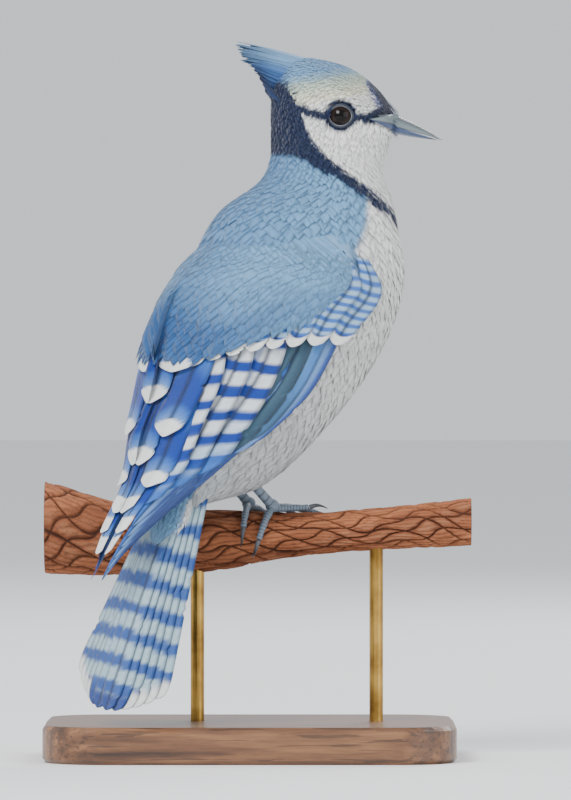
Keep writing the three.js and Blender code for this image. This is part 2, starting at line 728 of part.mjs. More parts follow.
function addNode(name, made, material) {
  const mesh = largest(largest(made).simplify(FINEST)).getMesh();
  const geometry = new THREE.BufferGeometry();
  geometry.setAttribute("position", new THREE.BufferAttribute(new Float32Array(mesh.vertProperties), 3));
  geometry.setIndex(new THREE.BufferAttribute(new Uint32Array(mesh.triVerts), 1));
  geometry.computeVertexNormals();
  const node = new THREE.Mesh(geometry, material);
  node.name = name;
  group.add(node);
}

addNode("torso", torso, paint.blue);
addNode("neck", neck, paint.blue);

const sockets = ["right", "left"].map((side) => eyeSolid(side === "right" ? -1 : 1, GAP));
const billSpace = billHalf(1, BILL.rise, GAP).add(billHalf(-1, BILL.fall, GAP));
const mouth = solid(
  new THREE.BoxGeometry(MOUTH.length, 40, MOUTH.height)
    .rotateY(0.12)
    .translate(MOUTH.x, HEAD_Y, MOUTH.z),
);
let head = skull.add(crestSolid().subtract(neck)).add(lidSolid(1)).add(lidSolid(-1));
for (const space of [...sockets, billSpace, mouth]) head = head.subtract(space);
addNode("head", head, paint.head);
addNode("upper_bill", billHalf(1, BILL.rise).subtract(nostril(1)).subtract(nostril(-1)), paint.bill);
addNode("lower_bill", billHalf(-1, BILL.fall), paint.bill);
addNode("right_eye", eyeSolid(-1), paint.eye);
addNode("left_eye", eyeSolid(1), paint.eye);

const rightWing = wingSolid().subtract(leftHalf);
const leftWing = mirrored(rightWing);
addNode("right_wing", rightWing.subtract(wholeWithGap), paint.wing);
addNode("left_wing", leftWing.subtract(wholeWithGap), paint.wing);
addNode("tail", tailSolid().subtract(wholeWithGap), paint.wing);

for (const [name, foot] of Object.entries(FEET)) {
  addNode(`${name}_leg`, legSolid(foot).subtract(wholeWithGap), paint.leg);
  addNode(`${name}_foot`, footSolid(foot), paint.leg);
  for (const [toeName, toe] of Object.entries(foot.toes)) {
    const claw = bar(clawCurve(foot, toe), (share) => TOE.clawRadius * (1 - share * 0.82), 6, 5);
    addNode(`${name}_${toeName}_claw`, solid(claw), paint.claw);
  }
}

const perchShare = (i) => i / 18;
const perchRings = Array.from({ length: 19 }, (_, i) => {
  const centre = PERCH_LINE.getPointAt(perchShare(i));
  const radius = perchRadius(perchShare(i));
  return ellipseRing(centre, vec(0, radius, 0), vec(0, 0, radius), 20);
});
let perch = solid(loft(perchRings));
for (const x of ROD.xs) perch = perch.subtract(rodSolid(x, GAP));
addNode("perch_branch", perch, paint.bark);

let base = baseSolid();
for (const x of ROD.xs) base = base.subtract(rodSolid(x, GAP));
addNode("stand_base", base, paint.base);
ROD.xs.forEach((x, i) => addNode(`stand_rod_${i + 1}`, rodSolid(x), paint.rod));

export default group;
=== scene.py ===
import bpy
import numpy as np
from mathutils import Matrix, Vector


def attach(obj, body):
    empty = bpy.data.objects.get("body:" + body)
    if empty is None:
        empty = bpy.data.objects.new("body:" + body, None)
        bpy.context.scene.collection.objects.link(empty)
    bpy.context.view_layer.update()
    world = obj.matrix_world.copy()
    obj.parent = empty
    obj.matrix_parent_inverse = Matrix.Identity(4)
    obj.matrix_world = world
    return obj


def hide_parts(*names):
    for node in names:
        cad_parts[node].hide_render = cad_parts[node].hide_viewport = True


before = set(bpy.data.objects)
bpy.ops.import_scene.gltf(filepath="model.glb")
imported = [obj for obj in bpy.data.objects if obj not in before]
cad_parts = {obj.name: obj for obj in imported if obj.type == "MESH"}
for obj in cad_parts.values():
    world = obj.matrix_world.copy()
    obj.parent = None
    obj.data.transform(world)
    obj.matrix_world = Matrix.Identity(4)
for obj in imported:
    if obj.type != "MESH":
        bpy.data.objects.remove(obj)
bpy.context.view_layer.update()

# Skin
# The skin of the mounted bird is one surface from the rump over back, breast and neck to the root of the
# bill. It is drawn over the carved form and lies under the feathers, and it carries the same colours,
# darkened by painted shade where the feathers cover it.
MM = 0.001
SKIN_DEPTH = 1.5
# Each station, in mm: back x and z, front x and z, half width, and the bird's heading there in degrees
STATIONS = np.array([
    (-31.5, 92.5, -24.5, 90.5, 6, 38),
    (-34.2, 100.9, -17.9, 94.9, 13, 38),
    (-38, 120.7, 4.6, 101.7, 24, 38),
    (-37.2, 139.7, 25.8, 120.7, 31, 38),
    (-33.1, 160.6, 42.6, 141.6, 34, 38),
    (-26.6, 177.7, 54.7, 164.4, 35, 38),
    (-20.5, 192.9, 58.5, 183.4, 33, 36),
    (-11.4, 208.1, 56.2, 200.5, 27, 30),
    (3, 218.7, 54, 211.9, 20.5, 20),
    (7.6, 227.1, 50.5, 222.5, 17.5, 10),
    (8, 236.7, 52.2, 230, 16, 0),
    (8, 248, 53.2, 233.9, 15, 0),
    (9.5, 259.4, 54.3, 236, 14.6, 0),
    (19, 266.2, 55, 236.8, 14, 0),
    (34.2, 264, 55.4, 237.4, 12, 0),
    (43.7, 259, 55.7, 238, 9.4, 0),
    (50.5, 252.6, 55.7, 238.6, 6.6, 0),
    (54, 247, 55.4, 240, 3.6, 0),
])
LAST = len(STATIONS) - 1
MIDDLE_X = 3.5
HEADING = np.radians(38)


def spline(rows, share):
    """Catmull-Rom curve through evenly numbered rows, at shares 0 to 1 of the way from first to last."""
    rows = np.asarray(rows, float)
    last = len(rows) - 1
    place = np.clip(share, 0, 1) * last
    i = np.clip(np.floor(place).astype(int), 0, last - 1)
    w = (place - i)[..., None]
    start, end = rows[i], rows[i + 1]
    before, after = rows[np.maximum(i - 1, 0)], rows[np.minimum(i + 2, last)]
    slope0 = (end - before) / 2
    slope1 = (after - start) / 2
    cubic = 2 * start - 2 * end + slope0 + slope1
    square = -3 * start + 3 * end - 2 * slope0 - slope1
    return ((cubic * w + square) * w + slope0) * w + start


middles = (STATIONS[:, 0] + STATIONS[:, 2]) / 2
DEPTHS = np.cumsum(np.tan(np.radians(STATIONS[:, 5])) * np.diff(middles, prepend=MIDDLE_X))


def section(number):
    """The body's cross section at a station number: centre, unit direction to the front, unit direction to
    the bird's right, and the half axes along both. The front and back points are those seen along +Y, so
    the half depth is the seen half length less what the turned half width shows of itself."""
    row = spline(np.column_stack([STATIONS, DEPTHS]), np.asarray(number, float) / LAST)
    back_x, back_z, front_x, front_z, half, yaw, middle_y = np.moveaxis(row, -1, 0)
    yaw = np.radians(yaw)
    reach = np.hypot(front_x - back_x, front_z - back_z) / 2
    slope_x, slope_z = (front_x - back_x) / 2 / reach, (front_z - back_z) / 2 / reach
    level = slope_x / np.cos(yaw)
    slant = np.hypot(level, slope_z)
    shown = half * np.sin(yaw) * slope_x
    depth = np.sqrt(np.maximum(reach**2 - shown**2, 1)) * slant
    to_front = np.stack([level * np.cos(yaw), level * np.sin(yaw), slope_z], -1) / slant[..., None]
    to_right = np.stack([np.sin(yaw), -np.cos(yaw), np.zeros_like(yaw)], -1)
    centre = np.stack([(back_x + front_x) / 2, middle_y, (back_z + front_z) / 2], -1)
    return centre, to_front, to_right, depth, half


def body_point(number, turn, out):
    """A place on the body: the ellipse of its station at a turn from the front towards the bird's right,
    with both half axes grown by how far it stands off the form."""
    number, turn, out = np.broadcast_arrays(number, turn, out)
    centre, to_front, to_right, depth, half = section(number)
    ahead = ((depth + out) * np.cos(turn))[..., None] * to_front
    return centre + ahead + ((half + out) * np.sin(turn))[..., None] * to_right


def paint(red, green, blue):
    """A colour from its screen values, 0 to 255, as the linear light that the shaders use."""
    screen = np.array([red, green, blue]) / 255
    return np.where(screen <= 0.04045, screen / 12.92, ((screen + 0.055) / 1.055) ** 2.4)


def rise(value, start, end):
    """0 below the start, 1 past the end, and a smooth S between; start may be the larger one."""
    share = np.clip((value - start) / (end - start), 0, 1)
    return share * share * (3 - 2 * share)


def over(ground, colour, cover):
    """One colour laid over another, by a cover of 0 to 1."""
    return ground + (colour - ground) * np.asarray(cover)[..., None]


def off_line(x, z, line):
    """Distance in the side view from points to a line through a few corners: the least over its pieces."""
    best = np.full(np.shape(x), 1e9)
    for (x0, z0), (x1, z1) in zip(line[:-1], line[1:]):
        dx, dz = x1 - x0, z1 - z0
        share = np.clip(((x - x0) * dx + (z - z0) * dz) / (dx * dx + dz * dz), 0, 1)
        best = np.minimum(best, np.hypot(x - x0 - share * dx, z - z0 - share * dz))
    return best


WHITE, GREY_WHITE, LOW_GREY = paint(250, 249, 245), paint(236, 236, 232), paint(196, 200, 202)
COBALT = paint(14, 60, 154)
MANTLE, MANTLE_SHADED = paint(118, 167, 207), paint(50, 96, 152)
NAVY, CROWN = paint(24, 38, 70), paint(126, 172, 212)
SAGE, CREAM, CREST_BLUE = paint(192, 212, 196), paint(240, 238, 214), paint(56, 98, 154)
EYE_AT = (34.4, 244)
EYE_STRIPE = [(46.5, 242.8), (41, 243.4), (30, 243.6), (22, 245.4), (15, 248)]
COLLAR_PLACES = np.radians([0, 30, 60, 90, 105, 120, 140, 180])
COLLAR_NUMBERS = [7.0, 7.25, 7.85, 8.75, 9.3, 10.1, 10.6, 10.6]
COLLAR_HALVES = [0.26, 0.27, 0.3, 0.4, 0.6, 1.0, 1.3, 1.35]


def body_plumage(number, turn, x, z, stray):
    """The bird's colours over body, neck and head. White below, greyer low down; blue above a border that
    runs along the neck's side; a navy collar whose station number and width follow the turn; on the head,
    in the side view, a blue crown fading to cream over the eye, a navy line through the eye and a blue
    black forehead. The stray numbers, -1 to 1, roughen every border."""
    side = np.abs((turn + np.pi) % (2 * np.pi) - np.pi)
    # The bird's own grey-white underparts, with painted shade: greyer towards the bottom of the body and low
    # on its sides.
    colour = over(WHITE, GREY_WHITE, rise(z, 200, 160))
    colour = over(colour, LOW_GREY, 0.75 * rise(z, 150, 104) + 0.2 * rise(side, 0.9, 1.6) * rise(z, 215, 190))
    middle = np.interp(side, COLLAR_PLACES, COLLAR_NUMBERS)
    half = np.interp(side, COLLAR_PLACES, COLLAR_HALVES)
    border = np.radians(np.interp(number, [0, 1.5, 3, 5.5, 7, 8.5, 9.5], [128, 124, 118, 100, 72, 64, 62]))
    back = rise(side, border - 0.05, border + 0.07) * rise(number, middle + 0.05, middle - 0.1)
    # Painted shade on the back: its blue darkens towards the back's middle and low down.
    shade = rise(side, 1.5, 3) * 0.45 + rise(z, 195, 165) * 0.3
    colour = over(colour, MANTLE + (MANTLE_SHADED - MANTLE) * shade[..., None], back)
    head = rise(number, 9.1, 9.5)
    face = over(WHITE, LOW_GREY, 0.25 * rise(z, 238, 226) * rise(x, 30, 12))
    height = z + 0.9 * stray + 0.16 * (24 - x)
    face = over(face, CREAM, rise(height, 247.5, 251))
    face = over(face, SAGE, 0.85 * rise(height, 250.5, 255.5))
    face = over(face, CROWN, rise(height, 255, 261) * rise(x, 50, 40))
    face = over(face, CREST_BLUE, rise(x, 17, 10) * rise(z, 250, 255))
    nape = 16.5 + 1.6 * stray + 3.5 * rise(np.abs(z - 240.5), 4, 0) + 2.0 * rise(z, 236, 230)
    face = over(face, NAVY, rise(x, nape + 1.2, nape - 1.2) * rise(z, 256, 252.5))
    face = over(face, NAVY, rise(off_line(x, z, EYE_STRIPE), 2.3 + 0.5 * stray, 1.2 + 0.5 * stray))
    eye_off = np.hypot((x - EYE_AT[0]) * 0.9, z - EYE_AT[1])
    face = over(face, NAVY, rise(eye_off, 6.4 + 0.5 * stray, 5.5 + 0.5 * stray))
    forehead = off_line(x, z, [(48, 256.5), (50.5, 252), (53, 248)])
    face = over(face, COBALT, rise(forehead, 4.4 + stray, 2.6 + stray))
    face = over(face, NAVY, rise(forehead, 3.2 + stray, 1.8 + stray))
    face = over(face, NAVY, rise(off_line(x, z, [(44, 242.5), (49, 245.5), (54, 247)]), 2.2, 1.2))
    colour = over(colour, face, head)
    ragged = 0.11 * stray
    collar = rise(np.abs(number - middle), half + 0.1 + ragged, half - 0.06 + ragged) * rise(z, 259, 256)
    return over(colour, NAVY, collar)


def circle(count):
    """So many even angles round a full turn."""
    return np.arange(count) / count * 2 * np.pi


def doubled_ends(rows):
    """Rows with the first and the last given once more, for the poles of a capped surface."""
    return np.concatenate([rows[:1], rows, rows[-1:]])


def capped(rings):
    """Rings of points with a pole before the first and after the last, each at its ring's middle."""
    poles = np.repeat(rings[[0, -1]].mean(axis=1)[:, None], rings.shape[1], 1)
    return np.concatenate([poles[:1], rings, poles[1:]])


def grid_quads(rows, columns, wrapped=False):
    """Quads between neighbours on a grid whose points are numbered along each row; wrapped joins the last
    column to the first."""
    at = np.arange(rows * columns).reshape(rows, columns)
    if wrapped:
        at = np.column_stack([at, at[:, 0]])
    return np.stack([at[:-1, :-1], at[:-1, 1:], at[1:, 1:], at[1:, :-1]], -1).reshape(-1, 4)


def put_mesh(name, points, quads, material, colours=None, maps=None, smooth=True, stands_for=()):
    """One finished piece from points in mm and quads. A quad that repeats its last corner is a triangle.
    Colours are one per point, and each map gives one place per point."""
    points = np.asarray(points, float).reshape(-1, 3)
    corners = np.where(quads[:, 2] == quads[:, 3], 3, 4)
    kept = np.arange(4)[None, :] < corners[:, None]
    loops = quads[kept]
    mesh = bpy.data.meshes.new(name)
    mesh.vertices.add(len(points))
    mesh.vertices.foreach_set("co", (points * MM).ravel())
    mesh.loops.add(len(loops))
    mesh.loops.foreach_set("vertex_index", loops)
    mesh.polygons.add(len(quads))
    mesh.polygons.foreach_set("loop_start", np.concatenate([[0], np.cumsum(corners)[:-1]]))
    mesh.polygons.foreach_set("loop_total", corners)
    mesh.polygons.foreach_set("use_smooth", np.array(np.broadcast_to(smooth, len(quads))))
    mesh.update(calc_edges=True)
    if colours is not None:
        layer = mesh.color_attributes.new("plumage", "FLOAT_COLOR", "POINT")
        flat = np.asarray(colours).reshape(-1, 3)
        layer.data.foreach_set("color", np.column_stack([flat, np.ones(len(flat))]).ravel())
    for label, places in (maps or {}).items():
        layer = mesh.uv_layers.new(name=label)
        layer.data.foreach_set("uv", np.asarray(places).reshape(-1, 2)[loops].ravel())
    mesh.materials.append(material)
    thing = bpy.data.objects.new(name, mesh)
    bpy.context.scene.collection.objects.link(thing)
    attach(thing, "root")
    if stands_for:
        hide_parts(*stands_for)
    return thing


class Dye:
    """A shader socket that can be used in sums: an operator on it adds one Math node."""

    def __init__(self, tree, output=None):
        self.tree = tree
        self.output = output

    def node(self, kind, inputs=(), output=0, **settings):
        """Adds a node, sets its settings first, then gives its sockets their values or links."""
        made = self.tree.nodes.new("ShaderNode" + kind)
        for name, value in settings.items():
            if name == "stops":
                ramp = made.color_ramp.elements
                while len(ramp) < len(value):
                    ramp.new(0.5)
                for element, (place, colour) in zip(ramp, value):
                    element.position = place
                    element.color = (*colour, 1)
            else:
                setattr(made, name, value)
        for name, value in dict(inputs).items():
            if isinstance(value, Dye):
                self.tree.links.new(value.output, made.inputs[name])
            else:
                made.inputs[name].default_value = value
        return Dye(self.tree, made.outputs[output])

    def sum(self, operation, *others):
        """One Math node whose inputs are this dye and the others."""
        return self.node("Math", dict(enumerate((self,) + others)), operation=operation)

    def __add__(self, other):
        return self.sum("ADD", other)

    def __mul__(self, other):
        return self.sum("MULTIPLY", other)

    def __sub__(self, other):
        return self.sum("SUBTRACT", other)

    def __rsub__(self, other):
        return self.node("Math", {0: other, 1: self}, operation="SUBTRACT")

    def tinted(self, share, colour, blend="MIX"):
        """This colour mixed with another by a share."""
        colour = colour if isinstance(colour, Dye) else (*colour, 1)
        inputs = {0: share, 6: self, 7: colour}
        return self.node("Mix", inputs, output=2, data_type="RGBA", blend_type=blend, clamp_factor=True)


def new_finish(name, **constants):
    """A material whose principled shader has these constants, and the tree's first dye to grow from."""
    material = bpy.data.materials.new(name)
    material.use_nodes = True
    shader = material.node_tree.nodes["Principled BSDF"]
    for socket, value in constants.items():
        shader.inputs[socket.replace("_", " ")].default_value = value
    return material, shader, Dye(material.node_tree)


def join(shader, **links):
    """Links dyes to the shader's sockets by name."""
    for socket, dye in links.items():
        dye.tree.links.new(dye.output, shader.inputs[socket.replace("_", " ")])


def painted(dye):
    """The colour that each point of the piece carries."""
    return dye.node("Attribute", attribute_name="plumage")


def noise(dye, scale, detail=3.0, stretch=(1, 1, 1), rough=0.55):
    """Noise on the piece's own coordinates, stretched by the three factors."""
    place = dye.node("TexCoord", output="Object")
    place = dye.node("VectorMath", {0: place, 1: stretch}, operation="MULTIPLY")
    return dye.node("TexNoise", {"Vector": place, "Scale": scale, "Detail": detail, "Roughness": rough})


def bump(dye, height, distance):
    """A surface roughened by a height, to a distance in metres."""
    return dye.node("Bump", {"Height": height, "Distance": distance})


def speckled(name, scale, detail, share, speck, depth, rough, gloss, **constants):
    """A finish in the piece's own colour, mixed with specks of another by a share of noise. The same noise
    roughens the surface to a depth in metres, unless that is 0."""
    material, shader, dye = new_finish(name, Roughness=rough, Specular_IOR_Level=gloss, **constants)
    specks = noise(dye, scale, detail)
    join(shader, Base_Color=painted(dye).tinted(specks * share, speck))
    if depth:
        join(shader, Normal=bump(dye, specks, depth))
    return material


skin_finish = speckled("down_on_skin", 900, 4, 0.2, (0.05, 0.055, 0.06), 0.0004, rough=0.95, gloss=0.15)

SKIN_ROWS, SKIN_SIDES = 240, 120
# Painted shade under the feathers: the skin, the shoulder's sheet and the wedge under the tail coverts are
# darkened by this factor.
SHADE_UNDER_FEATHERS = 0.85
numbers = np.linspace(0, LAST, SKIN_ROWS)[:, None]
turns = circle(SKIN_SIDES) - np.pi
skin = capped(body_point(numbers, turns, -SKIN_DEPTH))
numbers, turns = np.broadcast_arrays(doubled_ends(numbers), turns)
put_mesh(
    "skin",
    skin,
    grid_quads(len(skin), SKIN_SIDES, wrapped=True),
    skin_finish,
    colours=body_plumage(numbers, turns, skin[..., 0], skin[..., 2], 0) * SHADE_UNDER_FEATHERS,
    maps={"OFBake": np.stack([turns / (2 * np.pi) + 0.5, numbers / LAST], -1)},
    stands_for=("torso", "neck", "head"),
)

# Body feathers
# Soft contour feathers grow from the skin in overlapping rows and lie from the bill back to the tail,
# tiny on the face and long on the belly. Each is a cambered blade with a frayed tip, rooted in the skin.
rng = np.random.default_rng(20)
# Tables over the form: how far down the lie each place is, which station each such length reaches, and
# the form's girth for each radian of turn
RUN_ROWS, RUN_SIDES, RUN_STEP = 408, 144, 0.4
RUN_NUMBERS = np.linspace(0, LAST, RUN_ROWS + 1)
RUN_TURNS = np.linspace(-np.pi, np.pi, RUN_SIDES + 1)
form = body_point(RUN_NUMBERS[:, None], RUN_TURNS, 0)
steps = np.linalg.norm(np.diff(form, axis=0), axis=-1)
RUNS = np.vstack([np.zeros(RUN_SIDES + 1), np.cumsum(steps, axis=0)])
run_lengths = np.arange(0, RUNS.max(), RUN_STEP)
NUMBER_AT_RUN = np.column_stack([np.interp(run_lengths, column, RUN_NUMBERS) for column in RUNS.T])
GIRTHS = np.linalg.norm(np.gradient(form, RUN_TURNS[1] - RUN_TURNS[0], axis=1), axis=-1)


def look_up(table, row, column):
    """A table read between its places, by fractional row and column."""
    row = np.clip(row, 0, table.shape[0] - 1.001)
    column = np.clip(column, 0, table.shape[1] - 1.001)
    r, c = np.floor(row).astype(int), np.floor(column).astype(int)
    fr, fc = row - r, column - c
    upper = table[r, c] * (1 - fc) + table[r, c + 1] * fc
    lower = table[r + 1, c] * (1 - fc) + table[r + 1, c + 1] * fc
    return upper * (1 - fr) + lower * fr


def body_place(root_number, root_turn, run, aside, lift):
    """A place on a body feather: so far down the lie from its root's station and so far to one side,
    measured over the form, and lifted off it. Returns the point, the station number and the turn."""
    row = root_number / LAST * RUN_ROWS
    girth = look_up(GIRTHS, row, (root_turn + np.pi) / (2 * np.pi) * RUN_SIDES)
    turn = root_turn + aside / np.maximum(girth, 2)
    column = ((turn + np.pi) / (2 * np.pi) % 1) * RUN_SIDES
    number = look_up(NUMBER_AT_RUN, (look_up(RUNS, row, column) - run) / RUN_STEP, column)
    return body_point(number, turn, lift), number, turn


def vane_quads(rows, columns):
    """Quads of one closed thin vane: an upper grid, the same grid below it, and the rim between them."""
    upper = grid_quads(rows, columns)
    at = np.arange(rows * columns).reshape(rows, columns)
    rim = np.concatenate([at[0, :-1], at[:-1, -1], at[-1, :0:-1], at[:0:-1, 0]])
    after = np.roll(rim, -1)
    below = rows * columns
    sides = np.stack([rim, rim + below, after + below, after], -1)
    return np.concatenate([upper, upper[:, ::-1] + below, sides])


def many_quads(points, quads):
    """The quads of many like vanes in one mesh. A vane whose volume comes out negative is turned over."""
    corners = points[:, quads]
    first = np.einsum("fqi,fqi->f", corners[:, :, 0], np.cross(corners[:, :, 1], corners[:, :, 2]))
    second = np.einsum("fqi,fqi->f", corners[:, :, 0], np.cross(corners[:, :, 2], corners[:, :, 3]))
    offsets = np.arange(len(points))[:, None, None] * points.shape[1]
    turned = np.where((first + second < 0)[:, None, None], quads[None, :, ::-1], quads[None])
    return (turned + offsets).reshape(-1, 4)


def put_vanes(name, points, grid, material, colours, maps=None, stands_for=()):
    """Puts many closed vanes of one grid down as one piece. Their rims are shaded flat, so that the upper
    and lower faces keep their own light up to the edge."""
    quads = vane_quads(*grid)
    rims = 2 * (grid[0] + grid[1] - 2)
    smooth = np.tile(np.arange(len(quads)) < len(quads) - rims, len(points))
    laid = many_quads(points, quads)
    return put_mesh(name, points, laid, material, colours, maps, smooth=smooth, stands_for=stands_for)


def blade(rows, columns):
    """Shares along (0 root to 1 tip) and across (-1 to 1) for the grid of a vane, closer near the tip."""
    share = 1 - (1 - np.linspace(0, 1, rows)) ** 1.5
    return np.broadcast_arrays(share[:, None], np.linspace(-1, 1, columns)[None, :])


def blade_half(share, tip, full_to=0.62):
    """Half width of a vane as a share of its widest: from a narrow root, full, then rounded to its tip."""
    root = 0.45 + 0.55 * rise(share, 0, 0.35)
    end = np.sqrt(np.clip(1 - (np.clip(share - full_to, 0, 1) / (1 - full_to)) ** 2, 0, 1))
    return root * (tip + (1 - tip) * end)


def edge_light(share, across):
    """How light a soft feather is: lightest at its edges and its tip."""
    return 0.90 + 0.13 * np.abs(across) + 0.06 * share


BAKE_PATCH = 0.0015
VANE_STARTS = 40


def vane_maps(roots, share, across, run, aside, started=True):
    """The two maps of many vanes. OFBake gives each a small patch at its root's own place. The vane map
    gives the distance from the shaft and along it in mm, from a start drawn for each."""
    count = len(roots[0])
    faces = np.zeros((count, 2, 1, 1, 1))
    patch = np.stack(np.broadcast_arrays(across, share), -1) * BAKE_PATCH
    aside, run, _ = np.broadcast_arrays(aside, run, np.zeros((count, 1, 1)))
    start = rng.uniform(0, VANE_STARTS, (count, 1, 1, 1, 1)) if started else 0
    root = np.stack(roots, -1)[:, None, None, None]
    return {"OFBake": root + patch + faces, "vane": np.stack([aside, run], -1)[:, None] + start + faces}


def body_feathers(number, turn, length, width, rise_to, rows, columns):
    """Arrays of contour feathers from their roots. Each runs down the lie, its middle arched above its
    edges, its root under the skin and its tip lifted, with every column of the tip frayed on its own."""
    count = len(number)
    roots = ((turn + np.pi) / (2 * np.pi), number / LAST)
    number, turn, length, width, rise_to = np.stack([number, turn, length, width, rise_to])[..., None, None]
    share, across = blade(rows, columns)
    fray = rng.uniform(-0.05, 0.02, (count, 1, columns))
    reach = share * (1 - 0.2 * across**2 + fray * share**4)
    swing = rng.normal(0, 0.10, (count, 1, 1))
    half = width / 2 * blade_half(share, 0.22)
    run = reach * length
    aside = across * half + swing * run
    arch = 0.035 * width * (1 - across**2)
    low = -SKIN_DEPTH - 0.3
    top = low + (rise_to - low) * reach**0.8 + arch * share + rng.normal(0, 0.05, (count, 1, 1))
    thin = 0.16 - 0.1 * share
    layers = [body_place(number, turn, run, aside, level) for level in (top, top - thin)]
    points, numbers, turns = (np.stack(layer, 1) for layer in zip(*layers))
    stray = rng.uniform(-1, 1, (count, 1, 1, 1))
    colours = body_plumage(numbers, turns, points[..., 0], points[..., 2], stray)
    tone = 1 + rng.normal(0, 0.05, (count, 1, 1, 1))
    # Painted shade: each feather is darker towards its root, where the feathers above cover it.
    light = tone * edge_light(share, across) * (0.88 + 0.12 * rise(share, 0.1, 0.6))
    colours = colours * light[..., None]
    return points.reshape(count, -1, 3), colours, vane_maps(roots, share, across, run, aside)


def feather_finish(name, spacing, streak, depth, roughness=0.7):
    """The finish of a vane: its own colour, crossed by barbs that run from the shaft out to the tip side.
    Barbs are a wave over the distance along the shaft less that from it, broken up by noise."""
    material, shader, dye = new_finish(name, Specular_IOR_Level=0.3, Sheen_Weight=0.25, Sheen_Roughness=0.4)
    place = dye.node("UVMap", uv_map="vane")
    aside = dye.node("SeparateXYZ", {0: place}, output="X")
    along = dye.node("SeparateXYZ", {0: place}, output="Y")
    patchy = noise(dye, 450, 3)
    slant = along - aside.sum("ABSOLUTE") * 1.1 + patchy * 1.4
    barbs = (slant * (2 * np.pi / spacing)).sum("SINE") * 0.5 + 0.5
    fine = (slant * (2 * np.pi / spacing * 2.7)).sum("SINE") * 0.5 + 0.5
    groove = barbs * 0.6 + fine * 0.4
    colour = painted(dye)
    darker = colour.tinted(1.0, (0.45, 0.47, 0.52), "MULTIPLY")
    colour = colour.tinted((1 - groove) * streak, darker)
    join(shader, Base_Color=colour, Normal=bump(dye, groove, depth))
    join(shader, Roughness=(1 - groove) * 0.12 + roughness)
    return material


body_finish = feather_finish("contour_feathers", 0.85, 0.45, 0.00012)

LENGTH_PLACES = [0, 2, 5, 7, 8, 9, 10, 11, 12, 13, 14, 15, 16, 17]
LENGTHS = [12, 15, 15, 12.5, 10, 7.6, 6, 5.2, 4.7, 4.4, 3.7, 3.1, 2.4, 1.6]
LIFT_PLACES = [0, 3, 6, 8, 10, 17]
LIFTS = [0.45, 0.5, 0.45, 0.35, 0.25, 0.1]


def scattered(count):
    """Two shares of 0 to 1 for each of so many places that fill a sheet evenly: whole steps of the two
    golden shares of the plane."""
    return (0.5 + np.arange(count) * np.array([[0.7548776662], [0.5698402910]])) % 1


def spread_roots(first, last, closeness):
    """Roots over a stretch of the body, as evenly as the lie lets them: two golden shares run through the
    running totals of how many feathers each small cell of the skin holds, which is its area over the
    square of the feathers' spacing there, and a quarter of that where the wings lie over it."""
    rows = np.linspace(first, last, 160)
    columns = np.linspace(-np.pi, np.pi, 181)
    row_middles = (rows[:-1, None] + rows[1:, None]) / 2
    column_middles = (columns[:-1] + columns[1:]) / 2
    height = body_point(row_middles, column_middles, 0)[..., 2]
    corner = body_point(rows[:-1, None], columns[:-1], 0)
    down = body_point(rows[1:, None], columns[:-1], 0) - corner
    beside = body_point(rows[:-1, None], columns[1:], 0) - corner
    area = np.linalg.norm(np.cross(down, beside), axis=-1)
    held = area / (closeness * np.interp(row_middles, LENGTH_PLACES, LENGTHS)) ** 2
    under_wing = (height < 186) & (height > 118) & (np.abs(column_middles) > 2.0)
    held = np.where(under_wing, held * 0.25, held)
    down_pick, round_pick = scattered(int(held.sum()))
    totals = np.concatenate([[0], np.cumsum(held.sum(axis=1))])
    place = np.interp(down_pick * totals[-1], totals, np.arange(len(totals)))
    row = np.clip(np.floor(place).astype(int), 0, len(rows) - 2)
    number = rows[row] + (place - row) * (rows[1] - rows[0])
    across = np.cumsum(held, axis=1) / held.sum(axis=1, keepdims=True)
    across = np.column_stack([np.zeros(len(across)), across])
    column = (across[row] < round_pick[:, None]).sum(axis=1) - 1
    low, high = across[row, column], across[row, column + 1]
    turn = columns[column] + (round_pick - low) / np.maximum(high - low, 1e-9) * (columns[1] - columns[0])
    return number, turn


# Each coat: its first and last station, how close the feathers stand as a share of their length, the rows
# and columns of a vane, and its width as a share of its length
COATS = [
    ("rump_and_belly_feathers", 0.15, 3.1, 0.215, 5, 5, 0.55),
    ("flank_feathers", 3.1, 4.9, 0.215, 5, 5, 0.55),
    ("breast_feathers", 4.9, 6.7, 0.215, 5, 5, 0.55),
    ("shoulder_feathers", 6.7, 9.2, 0.225, 5, 5, 0.58),
    ("nape_and_throat_feathers", 9.2, 12.2, 0.25, 4, 5, 0.6),
    ("crown_and_face_feathers", 12.2, 16.9, 0.25, 4, 5, 0.6),
    ("loose_belly_barbs", 0.3, 4.0, 0.2, 4, 3, 0.075),
    ("loose_breast_barbs", 4.0, 9.0, 0.2, 4, 3, 0.075),
    ("loose_head_barbs", 9.0, 15.5, 0.22, 4, 3, 0.09),
]
GAPE_X, GAPE_Z, GAPE_FALL, GAPE_UP, GAPE_DOWN = 45.2, 242.9, 0.215, 0.43, 0.25
OPEN_EYE, CHEEK_MIDDLE, CHEEK_FROM, THROAT_NUMBER, BARB_LIFT = 4.9, 16.1, 6, 10, 0.05


def in_gape(x, z):
    """Whether a place in the side view lies in the wedge of bare horn at the corner of the mouth."""
    back = np.maximum(x - GAPE_X, 0)
    off = z - (GAPE_Z - GAPE_FALL * back)
    return (x > GAPE_X) & (off < GAPE_UP * back - 0.2) & (off > -GAPE_DOWN * back)


